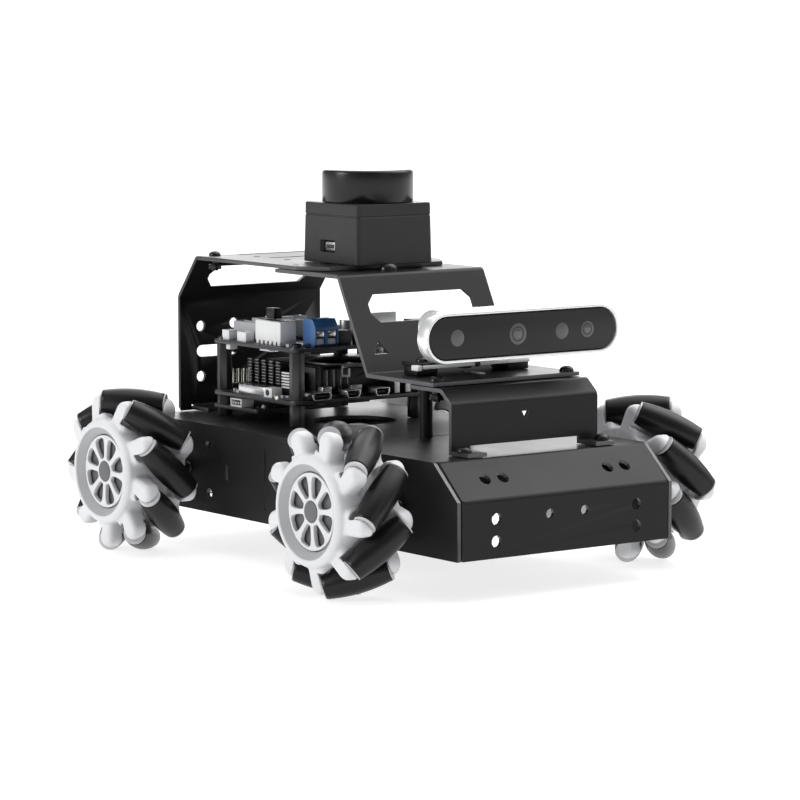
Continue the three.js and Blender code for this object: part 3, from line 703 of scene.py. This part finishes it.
# ---- Range finder ----
def range_finder():
    low, high = node_box("lidar_base")
    made = Assembly()
    height = high.z - low.z
    seam = height - 5  # a groove round the case, below its lid
    levels = [(0, 18.1), (0.25, 18.5), (seam - 0.3, 18.15), (seam - 0.1, 17.95), (seam + 0.2, 17.95),
              (seam + 0.4, 18.15), (height - 0.5, 18.1), (height - 0.15, 17.95), (height, 17.6)]
    shape = bmesh.new()
    rings = []
    for z, half in levels:
        outline = rounded(rectangle(-half, half, -half, half), 1.8, 5)
        rings.append([shape.verts.new((x, y + LIDAR_Y, low.z + z)) for x, y in outline])
    for a, b in zip(rings, rings[1:]):
        for k in range(len(a)):
            shape.faces.new([a[k - 1], a[k], b[k], b[k - 1]])
    shape.faces.new(list(reversed(rings[0])))
    shape.faces.new(rings[-1])
    made.add(shape, CASE)
    mesh = made.mesh("range_finder_base_solid", 25)
    port_y, port_z = LIDAR_Y + 1.6, 122.4
    cutter = Assembly()
    cutter.add(plate(rounded(rectangle(-4.9, 4.9, -2.45, 2.45), 0.6), 3.5), CASE,
               pointing((-1, 0, 0), (-15.4, port_y, port_z)) @ Matrix.Rotation(math.pi / 2, 4, "Z"))
    mesh = carved(mesh, [cutter.mesh("port_cut")])
    piece("range_finder_base", mesh, "chassis", ["lidar_base"], flat_faces=True)
    trim = Assembly()
    trim.box(-17.8, -15.2, port_y - 4.4, port_y + 2.2, port_z - 1.7, port_z + 1.7, PORT, 0.3)
    trim.box(-17.95, -17.7, port_y - 3.7, port_y + 1.5, port_z - 0.9, port_z + 0.7, CHIP)
    for x in (-14.6, 14.6):
        for y in (-14.6, 14.6):
            trim.add(rod(2.2, CAGE_TOP_Z - 3.4, CAGE_TOP_Z - 1.7, 24), SCREW, edge=0.3,
                     place=at(x, LIDAR_Y + y, 0))
    trim.piece("range_finder_trim", "silver")

    low, high = node_box("lidar_cover")
    radius, base, top = (high.x - low.x) / 2, low.z, high.z
    corner = [(radius + 1.3 * (math.cos(a) - 1), top + 1.3 * (math.sin(a) - 1))
              for a in (0, 0.4, 0.8, 1.2, 1.57)]
    profile = [(radius - 1.1, base), (radius - 0.15, base), (radius, base + 0.2), *corner,
               (radius * 0.5, top), (0, top), (0, top - 1.2), (radius - 1.2, top - 1.4)]
    cover = Assembly()
    cover.add(lathe(profile, 96), GLOSS, at(0, LIDAR_Y, 0))
    cover.piece("range_finder_cover", "gloss_black", ["lidar_cover"], smooth=50)


def carved(mesh, cutters):
    """The mesh with the cutters taken away from it."""
    holder = new_object("carving", mesh)
    tools = []
    for cutter in cutters:
        tool = new_object("cutter", cutter)
        modifier = holder.modifiers.new("cut", "BOOLEAN")
        modifier.operation = "DIFFERENCE"
        modifier.solver = "EXACT"
        modifier.object = tool
        tools.append(tool)
    bpy.context.view_layer.update()
    graph = bpy.context.evaluated_depsgraph_get()
    result = bpy.data.meshes.new_from_object(holder.evaluated_get(graph))
    for thing in (holder, *tools):
        bpy.data.objects.remove(thing)
    return result


# ---- Depth camera ----
def stadium(half_width, half_height, steps=16):
    points = []
    for end in (1, -1):
        for k in range(steps + 1):
            turn = math.pi * (k / steps - 0.5)
            points.append((end * (half_width - half_height + half_height * math.cos(turn)),
                           end * half_height * math.sin(turn)))
    return points


def depth_camera():
    low, high = node_box("camera_shell")
    half_width, half_height = (high.x - low.x) / 2, (high.z - low.z) / 2
    bezel = 6.3

    def front(y):
        return at(0, y, CAMERA_Z) @ FACING_FRONT

    shell = Assembly()
    mouth = stadium(half_width - 1.1, half_height - 1.1)
    ring = plate(stadium(half_width, half_height), bezel, [mouth], edge=0.45)
    shell.add(ring, SILVER, front(low.y))
    shell.add(plate(stadium(half_width - 1, half_height - 1), 3.4, edge=0.2), CHIP, front(low.y + 2.7))
    body = plate(rounded(rectangle(-35, 35, -9, 9), 6, 8), high.y - low.y - bezel, edge=1.2)
    shell.add(body, SILVER, front(low.y + bezel - 0.3))
    for x in (-26, 26):
        shell.add(rod(1.6, 0, 0.4, 24), CHIP, pointing((0, 1, 0), (x, high.y - 0.35, CAMERA_Z + 5)))
    for k in range(9):
        x = -16 + 4 * k
        slit = rounded(rectangle(x - 0.6, x + 0.6, -4, 4), 0.55, 4)
        shell.add(plate(slit, 0.4), CHIP, front(high.y - 0.35))
    shell.add(plate(rounded(rectangle(-4.6, 4.6, -1.7, 1.7), 1.5, 5), 0.4), CHIP,
              at(27, high.y - 0.35, CAMERA_Z - 4) @ FACING_FRONT)
    shell.piece("depth_camera_shell", "silver", ["camera_shell"])

    window = Assembly()
    face = low.y + 0.35
    window.add(plate(stadium(half_width - 1.6, half_height - 1.6), 1.9, edge=0.3), GLASS, front(face))
    for x, size, ringed in ((-31.5, 6.2, False), (-3.0, 8.0, True), (18.2, 6.2, False), (30.6, 6.2, True)):
        toward = pointing((0, -1, 0), (x, face, CAMERA_Z))
        r = size / 2
        window.add(rod(r, -0.4, 0.05, 48), LENS_RING, edge=0.04, place=toward)
        if ringed:
            window.add(tube(r * 0.72, r * 0.58, 0, 0.09, 40), CHIP, toward)
            window.add(lathe([(0, 0.12), (r * 0.3, 0.1), (r * 0.42, 0.05), (r * 0.42, 0), (0, 0)], 40), LENS,
                       toward)
    window.piece("depth_camera_window", "gloss_black", ["camera_window"])


def camera_stand():
    bar = rounded(rectangle(-26, 26, -53.4, -40), 1.5)
    made = Assembly()
    made.add(plate(bar, 1.5, edge=0.2), STEEL, at(0, 0, 80.8))
    blocks(made, SHELF_Z, (
        # The two thin white strips along the lower front edge of the stand's plate are a painted highlight on
        # that edge.
        (-25.5, -1, -54.4, -53.3, 3, 4.3, WHITE, 0.15), (1, 25.5, -54.4, -53.3, 3, 4.3, WHITE, 0.15),
        (-19.5, 19.5, -53.3, -51.7, 4.8, 23.8, STEEL, 0.3), (-12, 12, -61.9, -51.7, 11.8, 23.8, PLASTIC, 0.8),
        (-26, -16, -50.5, -42, 0.1, 3.7, PLASTIC, 0.5), (16, 26, -53, -42, 0.1, 3.7, PLASTIC, 0.5),
        # The white strip from x -1 to 1, set in the shelf slot, is a painted highlight standing for the lit
        # wall of the slot.
        (-28.4, -26.2, -54.2, -50, 2.4, 4.4, WHITE, 0.3), (-1, 1, -57.8, -47, -1.2, 0.6, WHITE, 0.2),
    ))
    for x in (-21, 21):
        button_screw(made, (x, -47, 82.3), head=4.6, height=1.6)
    made.add(rod(1.1, -1.5, 2.0, 32), PLASTIC, edge=0.3, place=pointing((0, -1, 0), (0, -53, 80.8)))
    made.piece("camera_stand", "black_steel", ["camera_mount"])


# ---- Electronics ----
BOARD_THICKNESS = 1.5
# Width, depth, height and finish of the small parts that boards carry.
SMALL_PARTS = {
    "resistor": (1.6, 0.8, 0.5, CHIP), "capacitor": (2.0, 1.2, 1.2, GREY),
    "chip": (4.0, 4.0, 0.9, CHIP), "can": (3.0, 3.0, 2.2, CAN),
}


def hex_post(made, x, y, z0, z1):
    place = at(x, y, 0) @ Matrix.Rotation(math.radians(15), 4, "Z")
    made.add(rod(3.1, z0, z1, 6), POST, edge=0.25, place=place)


def small_parts(made, area, count, z, seed, tallest=1.4):
    """Chips, capacitors and resistors set square on a board, within an area and clear of each other."""
    choose = random.Random(seed)
    x0, x1, y0, y1 = area
    taken, gap = [], 0.5
    for _ in range(count * 6):
        if len(taken) >= count:
            break
        kind = choose.choice(("resistor", "resistor", "capacitor", "chip", "can"))
        width, depth, height, material = SMALL_PARTS[kind]
        if choose.random() < 0.5:
            width, depth = depth, width
        x, y = choose.uniform(x0, x1 - width), choose.uniform(y0, y1 - depth)
        right, back = x + width, y + depth
        if any(x < b + gap and a < right + gap and y < d + gap and c < back + gap for a, b, c, d in taken):
            continue
        taken.append((x, right, y, back))
        made.box(x, right, y, back, z, z + min(height, tallest), material, 0.1)


def pin_rows(made, x0, x1, y0, y1, z0, z1):
    """Square pins on a grid, standing in a plastic strip."""
    pitch = 2.54
    made.box(x0 - 1.2, x1 + 1.2, y0 - 1.2, y1 + 1.2, z0, z0 + 2.5, CHIP, 0.15)
    for i in range(round((x1 - x0) / pitch) + 1):
        for j in range(round((y1 - y0) / pitch) + 1):
            x, y = x0 + i * pitch, y0 + j * pitch
            made.box(x - 0.32, x + 0.32, y - 0.32, y + 0.32, z0 - 1, z1, PIN, 0.1)


def port(made, x, width, height, z, y, tapered):
    """A stamped metal port facing the front, open, with its tongue inside."""
    half = width / 2
    if tapered:
        waist, foot = height * 0.42, half - 0.9
        outer = [(-half, height), (-half, waist), (-foot, 0), (foot, 0), (half, waist), (half, height)]
        outer = rounded(outer, 0.4, 3)
    else:
        outer = rounded(rectangle(-half, half, 0, height), height * 0.45, 5)
    middle = height / 2
    inner = [(px * (1 - 0.7 / half), middle + (pz - middle) * (1 - 0.8 / height)) for px, pz in outer]
    place = at(x, y, z) @ FACING_FRONT
    made.add(plate(outer, 6.0, [inner], edge=0.12), PORT, place)
    made.box(x - half + 0.5, x + half - 0.5, y + 4, y + 5.8, z + 0.3, z + height - 0.3, CHIP)
    made.box(x - half + 1.3, x + half - 1.3, y + 0.8, y + 5, z + middle - 0.3, z + middle + 0.35, CHIP)


def board_and_posts(made, outline, hole, z, material, post_base, pad):
    """A board on its four posts, with a bright pad round each hole."""
    holes = [circle(x, y, hole) for x, y in POSTS]
    made.add(plate(outline, BOARD_THICKNESS, holes, edge=0.12), material, at(0, 0, z - BOARD_THICKNESS))
    for x, y in POSTS:
        hex_post(made, x, y, post_base + 0.3, z - BOARD_THICKNESS - 0.1)
        made.add(tube(pad, hole + 0.1, z - 0.05, z + 0.06, 32), PIN, at(x, y, 0))


def computer():
    low, high = node_box("computer_board")
    made = Assembly()
    z = BOARD_Z
    outline = rounded(rectangle(-32.8, 52.2, low.y + 1, high.y), 3, 5)
    board_and_posts(made, outline, 1.4, z, BOARD, DECK_Z, 3.0)
    for x, width, tapered in ((-20.1, 9.2, False), (-4.8, 7.0, True), (9.5, 7.2, True)):
        port(made, x, width, 3.3, z, low.y, tapered)
    blocks(made, z, (
        (-15.6, -11.2, 25.2, 29, 0, 4.4, CAN, 0.25), (-1.4, 3.6, 25.2, 29, 0, 4.4, CAN, 0.25),
        (16.8, 19.8, 21.6, 26.6, 0, 4.6, CHIP, 0.3), (17.1, 19.5, 21.3, 22.0, 0.5, 5.2, WHITE, 0.15),
        (22.2, 25.2, 21.6, 26.6, 0, 4.6, CHIP, 0.3), (22.5, 24.9, 21.3, 22.0, 0.5, 5.2, WHITE, 0.15),
        (-31, -26, 44, 62.1, 0, 3.8, PORT, 0.35), (-31.2, -26, 38.4, 43.9, 0, 3.9, WHITE, 0.3),
        (-12, 8, 26, 42, -2.8, -1.5, CHIP, 0.2), (18, 30, 36, 50, -2.6, -1.5, CHIP, 0.2),
    ))
    made.add(rod(1.2, 0, 0.25, 24), CHIP, pointing((-1, 0, 0), (-31.15, 41.2, z + 2)))
    made.add(tube(1.3, 0.7, z, z + 1.3, 24), PIN, at(-31, 34.4, 0))
    pin_rows(made, -24.1, 24.2, 73.2, 75.7, z, z + 8.3)
    for y, width, height in ((30, 15, 13.4), (48.5, 13.6, 15.4), (67, 13.6, 15.4)):
        jack(made, 36.2, 54.8, y, width, z, height)
    small_parts(made, (-31, -26, 26, 38), 8, z, 3)
    small_parts(made, (-31, -26, 60, 72), 6, z, 4)
    small_parts(made, (26, 35, 28, 70), 24, z, 5)
    small_parts(made, (-24, 30, 69.4, 71.4), 14, z, 6)
    small_parts(made, (-24, 24, 26, 29), 10, z, 8, tallest=0.8)
    lower_board(made, high.y)
    made.piece("computer", "circuit_board", ["computer_board"])


def lower_board(made, y1):
    """A small board under the computer board, beside a rear post, with a four pin socket at its edge."""
    x0, y0, top, thickness = -32.3, 47.5, 56.0, 1.6
    outline = rounded(rectangle(x0, 10, y0, y1), 1.5, 4)
    made.add(plate(outline, thickness, edge=0.15), BOARD, at(0, 0, top - thickness))
    socket_y0, socket_y1, depth = 57.5, 65.3, 6.0
    opening = rectangle(socket_y0 + 0.6, socket_y1 - 0.6, 0.55, 2.8)
    socket = plate(rectangle(socket_y0, socket_y1, 0, 3.3), depth, [opening], edge=0.1)
    made.add(socket, WHITE, at(x0 - 0.4, 0, top) @ FACING_SIDE)
    made.box(x0 + 2, x0 + depth - 0.5, socket_y0 + 0.4, socket_y1 - 0.4, top, top + 3, CHIP)
    for k in range(4):
        y = socket_y0 + 1.5 + 1.6 * k
        made.box(x0 + 0.2, x0 + 3, y - 0.28, y + 0.28, top + 1.3, top + 1.9, PIN)
    small_parts(made, (x0 + 1, -12, y0 + 1, socket_y0 - 1), 14, top, 21)


def jack(made, x0, x1, y, width, z, height):
    """A network jack, or a taller one of two USB ports, whose mouths face the robot's left."""
    half = width / 2
    outer = rounded(rectangle(-half, half, 0, height), 0.5, 3)
    middle = height / 2
    rows = [(0.7, height - 0.7)] if height < 14 else [(0.8, middle - 0.4), (middle + 0.4, height - 0.8)]
    holes = [rectangle(-half + 0.7, half - 0.7, a, b) for a, b in rows]
    made.add(plate(outer, x1 - x0, holes, edge=0.15), PORT, at(x0, y, z) @ FACING_SIDE)
    made.box(x0 + 0.3, x0 + 6, y - half + 0.6, y + half - 0.6, z + 0.5, z + height - 0.5, CHIP)
    for a, b in rows:
        tongue = z + (a + b) / 2
        made.box(x0 + 5, x1 - 1.5, y - half + 1.6, y + half - 1.6, tongue - 0.8, tongue + 0.8, WHITE, 0.1)


def cooler():
    low, high = node_box("cooler")
    x0, x1, y0, y1 = -13.5, 29.8, 30, 69
    made = Assembly()
    made.box(x0, x1, y0, y1, low.z, low.z + 3, FIN, 0.3)
    for wall in ((x0, x1, y0, 31.4), (x0, x1, 67.4, 68.8), (28.4, x1, y0, y1)):
        made.box(*wall, low.z, high.z, FIN, 0.35)
    top = plate(rounded(rectangle(x0, x1, y0, y1), 1.5), 1.4, [circle(FAN_X, FAN_Y, 14.6, 64)], edge=0.3)
    made.add(top, FIN, at(0, 0, high.z - 1.4))
    made.add(tube(15.6, 14.5, high.z - 0.9, high.z + 0.6, 72), FIN_TIP, edge=0.25, place=at(FAN_X, FAN_Y, 0))
    for k in range(4):
        x = -12.2 + 3.4 * k
        made.box(x, x + 1.6, y0 - 0.15, y0 + 0.3, low.z + 2.4, high.z - 1.6, CHIP, 0.1)
        made.box(x + 1.7, x + 2.0, y0 - 0.25, y0 + 0.2, low.z + 2.4, high.z - 1.6, CAN)
    made.box(-16, -13, y0, 68.8, low.z, high.z - 0.4, FIN, 0.3)
    made.box(-24.3, -15, 42.6, 65.4, low.z + 0.6, low.z + 3.4, FIN, 0.3)
    for k in range(5):
        y = 44.1 + 4.95 * k
        made.box(-23.4, -15.5, y - 0.5, y + 0.5, low.z + 3, high.z - 0.6, FIN)
        for level in range(8):
            z = 66 + 1.2 * level
            made.box(-24.4, -23.5, y - 1.3, y + 1.3, z, z + 0.62, FIN_TIP, 0.12)
    for level in range(6):
        z = 64.9 + 1.15 * level
        made.box(-24.2, -22, 34.9, 41.6, z, z + 0.6, WHITE, 0.1)
    made.box(-23.4, -17.5, 35.2, 41.3, low.z, 71.3, CHIP)
    label_frame = plate(rectangle(-3.6, 0.8, 68.7, 73.4), 0.5, [rectangle(-2.7, -0.1, 69.6, 72.5)], edge=0.1)
    made.add(label_frame, CAN, at(0, y0 - 0.6, 0) @ FACING_FRONT)
    for k in range(18):
        x = 23.6 + 0.4 * (k % 2)
        y = 31.8 + 2.1 * k
        made.box(x, 28.6, y, y + 0.8, low.z + 3, high.z - 1.6, FIN)
    made.piece("cooler_body", "black_plastic", ["cooler"])

    fan = Assembly()
    centre = at(FAN_X, FAN_Y, 0)
    hub = [(0, -6.4), (5.4, -6.4), (5.6, -1.6), (5.1, -1.0), (0, -0.8)]
    fan.add(lathe([(radius, FAN_Z + z) for radius, z in hub], 40), PLASTIC, centre)
    for k in range(7):
        fan.add(fan_blade(), PLASTIC, centre @ Matrix.Rotation(2 * math.pi * k / 7, 4, "Z"))
    fan.piece("fan_wheel", "black_plastic", ["fan_rotor"], body="fan_rotor")


def fan_blade():
    """A swept blade, twisting from steep at the hub to flat at the tip."""
    shape = bmesh.new()
    rows = []
    for i in range(7):
        radius = 5.2 + i * 1.27
        sweep = 0.05 * i
        pitch = 0.9 - 0.07 * i
        half = 2.6 + 0.32 * i
        row = []
        for t in (-1, -0.5, 0, 0.5, 1):
            turn = sweep + t * half * math.cos(pitch) / radius
            z = FAN_Z - 3.7 + t * min(2.2, half * math.sin(pitch) * 0.62)
            row.append(shape.verts.new((radius * math.cos(turn), radius * math.sin(turn), z)))
        rows.append(row)
    for a, b in zip(rows, rows[1:]):
        for k in range(4):
            shape.faces.new([a[k], a[k + 1], b[k + 1], b[k]])
    bmesh.ops.solidify(shape, geom=list(shape.faces), thickness=0.5)
    bmesh.ops.recalc_face_normals(shape, faces=shape.faces)
    return shape


def screw_terminal(made, x0, x1, y0, y1, z0, z1):
    """A two way screw terminal with its wire mouths to the front."""
    side = [(y0 + 1.4, z0), (y0, z0 + 1.2), (y0, z1 - 3.2), (y0 + 2.2, z1)]
    side += [(y1 - 1, z1), (y1, z1 - 1), (y1, z0)]
    body = Assembly()
    body.add(plate(rounded(side, 0.35, 2), x1 - x0, edge=0.2), BLUE, at(x0, 0, 0) @ FACING_SIDE)
    way = (x1 - x0) / 2
    screw_y = (y0 + y1) / 2 + 0.6
    middles = [x0 + way * (k + 0.5) for k in range(2)]
    cutters = []
    for middle in middles:
        mouth = Assembly()
        half = way / 2 - 0.5
        mouth.box(middle - half, middle + half, y0 - 2, y0 + 3.2, z0 + 0.7, z0 + 6.6, BLUE)
        bore = Assembly()
        bore.add(rod(1.9, z1 - 2.6, z1 + 1, 28), BLUE, at(middle, screw_y, 0))
        cutters += [mouth.mesh("mouth"), bore.mesh("bore")]
    carved_mesh = carved(body.mesh("terminal"), cutters)
    carved_mesh.transform(Matrix.Scale(1 / MM, 4))
    shape = bmesh.new()
    shape.from_mesh(carved_mesh)
    made.add(shape, BLUE)
    for middle in middles:
        left, right = middle - way / 2 + 0.8, middle + way / 2 - 0.8
        made.box(left, right, y0 + 0.4, y0 + 3.4, z0 + 3.9, z0 + 6.3, PORT, 0.25)
        made.box(left, right, y0 + 0.7, y0 + 3.4, z0 + 0.9, z0 + 3.2, GREY, 0.25)
        made.box(left + 0.4, right - 0.4, y0 + 1.6, y0 + 3.4, z0 + 2.9, z0 + 3.6, CHIP)
        screw = at(middle, screw_y, 0)
        made.add(rod(1.8, z1 - 2.7, z1 - 0.9, 28), PORT, edge=0.2, place=screw)
        made.add(box(-1.6, 1.6, -0.25, 0.25, z1 - 1.0, z1 - 0.85), CHIP, screw)


def wafer_socket(made, x0, x1, y0, y1, z0, height, material, ways, along_x=False):
    """A shrouded socket, open on top, with its row of pins."""
    wall = 0.7
    outer = rounded(rectangle(x0, x1, y0, y1), 0.3, 2)
    inner = rectangle(x0 + wall, x1 - wall, y0 + wall, y1 - wall)
    made.add(plate(outer, height, [inner], edge=0.12), material, at(0, 0, z0))
    made.box(x0 + 0.3, x1 - 0.3, y0 + 0.3, y1 - 0.3, z0, z0 + height * 0.4, material)
    for k in range(ways):
        share = (k + 0.5) / ways
        x = x0 + (x1 - x0) * (share if along_x else 0.5)
        y = y0 + (y1 - y0) * (0.5 if along_x else share)
        made.box(x - 0.3, x + 0.3, y - 0.3, y + 0.3, z0 + 1, z0 + height - 0.6, PIN)


def controller():
    low, high = node_box("controller_board")
    z = CONTROL_Z
    made = Assembly()
    outline = rounded(rectangle(low.x, high.x, low.y, high.y), 3, 5)
    board_and_posts(made, outline, 1.5, z, CONTROL, BOARD_Z, 3.2)
    screw_terminal(made, -21.5, -10.3, 22, 30.5, z, z + 10.9)
    made.box(-29.4, -21.6, 34.8, 52.4, z + 1.3, z + 9.4, WHITE, 0.4)
    for k in range(6):
        y = 35.2 + 2.95 * k
        made.box(-29.4, -21.6, y, y + 1.7, z, z + 1.5, WHITE, 0.15)
    made.box(-28.6, -22, 35.4, 51.8, z, z + 2.4, CHIP)
    for k in range(5):
        y = 37.6 + 3.0 * k
        made.box(-27.6, -23.6, y - 0.9, y + 0.9, z + 9.2, z + 9.5, CHIP)
    for y0, y1 in ((57, 63.3), (69, 74)):
        wafer_socket(made, -30.8, -26.8, y0, y1, z, 3.9, WHITE, 3)
    wafer_socket(made, -24, -18.6, 58, 75.8, z, 7, GREY, 6)
    made.add(rod(1.9, z, z + 7.6, 36), WHITE, edge=0.4, place=at(-24.6, 55.2, 0))
    for k in range(3):
        wafer_socket(made, -17.8 + 6.6 * k, -12 + 6.6 * k, 60.4, 68, z, 7.2, GREY, 2)
        wafer_socket(made, -15 + 8.2 * k, -7.6 + 8.2 * k, 70.4, 75.8, z, 7.6, GREY, 3, along_x=True)
    blocks(made, z, (
        (-6, 8, 40, 54, 0, 1.3, CHIP, 0.3), (13, 20, 34, 41, 0, 1.2, CHIP, 0.3),
        (-7, -1, 26, 33, 0, 5.5, CHIP, 0.3), (2, 10, 24, 30, 0, 6.5, PLASTIC, 0.3),
        (14, 22, 52, 60, 0, 4.6, CAN, 0.3), (31, 43.8, 56.4, 72, 0, 8.6, CAN, 0.3),
        (24, 34, 36, 46, 0, 3.5, CHIP, 0.3), (30, 42, 24, 33, 0, 8.0, PLASTIC, 0.3),
    ))
    for x, y, radius, height in ((12, 47, 3.1, 7.5), (20, 46.5, 3.1, 7.5), (27, 51, 2.5, 6)):
        made.add(rod(radius, z, z + height, 36), CAN, edge=0.3, place=at(x, y, 0))
        made.add(rod(radius + 0.3, z, z + 1.0, 36), CHIP, edge=0.1, place=at(x, y, 0))
    small_parts(made, (-20, 40, 32, 39), 30, z, 11)
    small_parts(made, (-10, 30, 54.5, 59.8), 22, z, 12)
    small_parts(made, (-31, -22, 22, 33), 10, z, 13)
    blocks(made, z - BOARD_THICKNESS, (
        (-30.6, -27, 68.5, 71.5, -2.4, 0.05, WHITE, 0.25), (-31, -28, 40, 47, -1.0, 0.05, WHITE, 0.25),
        (-18, -6, 30, 38, -2.2, 0.05, CHIP, 0.25), (2, 14, 32, 44, -1.4, 0.05, CHIP, 0.25),
        (-25, 25, 72.5, 77.5, -4.2, 0.05, CHIP, 0.25),
    ))
    made.piece("controller", "circuit_board", ["controller_board"])
    power_switch(z)


def power_switch(z):
    low, high = node_box("power_switch")
    cap_z = z + 8.4
    y0, y1 = low.y + 1.8, high.y - 1.6
    lever = Assembly()
    lever.box(low.x + 0.4, high.x - 0.4, y0, y1, z + 0.4, z + 8, CHIP, 0.3)
    lever.box(low.x, high.x, low.y, high.y, cap_z + 0.9, high.z, PLASTIC, 0.45)
    lever.box(low.x + 1.4, high.x - 1.4, y0 + 0.2, y1 - 0.2, z + 7, cap_z + 2, PLASTIC)
    lever.piece("power_button", "black_plastic", ["power_switch"], body="power_switch")


# ---- Drive ----
def motors():
    for tag, side in CORNERS:
        node = "gear_motor_" + tag
        low, high = node_box(node)
        middle = (low + high) / 2
        outer = high.x if side > 0 else -low.x
        gears = outer - 19
        made = Assembly()
        place = pointing((side, 0, 0), (0, middle.y, middle.z))
        for shape, material, edge in (
            (tube(12.4, 3.2, gears, outer, 64), ZINC, 0.4), (rod(1.2, 5.2, 9, 16), ZINC, 0),
            (tube(12.5, 11.6, outer - 10.4, outer - 9.8, 64), CHIP, 0),
            (rod(12.1, outer - 38, gears + 0.4, 64), CAN, 0.8),
            (rod(10.6, 8.5, outer - 37.8, 48), PLASTIC, 0.5), (rod(9.6, 5.2, 6.4, 48), CHIP, 0.1),
        ):
            made.add(shape, material, place, edge)
        for k in range(3):
            turn = place @ Matrix.Rotation(2 * math.pi * k / 3, 4, "Z")
            made.add(rod(1.3, gears, outer - 0.2, 16), SCREW, turn @ at(10, 0, 0))
        made.piece("motor_" + tag, "silver", [node])


def battery():
    low, high = node_box("battery_pack")
    cell = (high.x - low.x) / 3
    made = Assembly()
    for k in range(3):
        x0 = low.x + k * cell
        made.add(box(x0 + 0.05, x0 + cell - 0.05, low.y, high.y, low.z, high.z), WRAP, edge=3.2, segments=5)
    made.box(low.x + 4, high.x - 4, low.y + 14, low.y + 22, low.z - 0.01, high.z, CHIP, 0.2)
    made.piece("battery", "black_plastic", ["battery_pack"])


studio()
wheels()
for cad_node, made_name in (
    ("chassis_deck", "tray"), ("rear_frame", "rear_cage"), ("front_frame", "front_cage"),
    ("front_bracket", "nose_bracket"),
):
    folded_sheet(cad_node, made_name)
fasteners()
range_finder()
depth_camera()
camera_stand()
computer()
cooler()
controller()
motors()
battery()
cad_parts["lidar_rotor"].data.materials.clear()
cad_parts["lidar_rotor"].data.materials.append(PLASTIC)
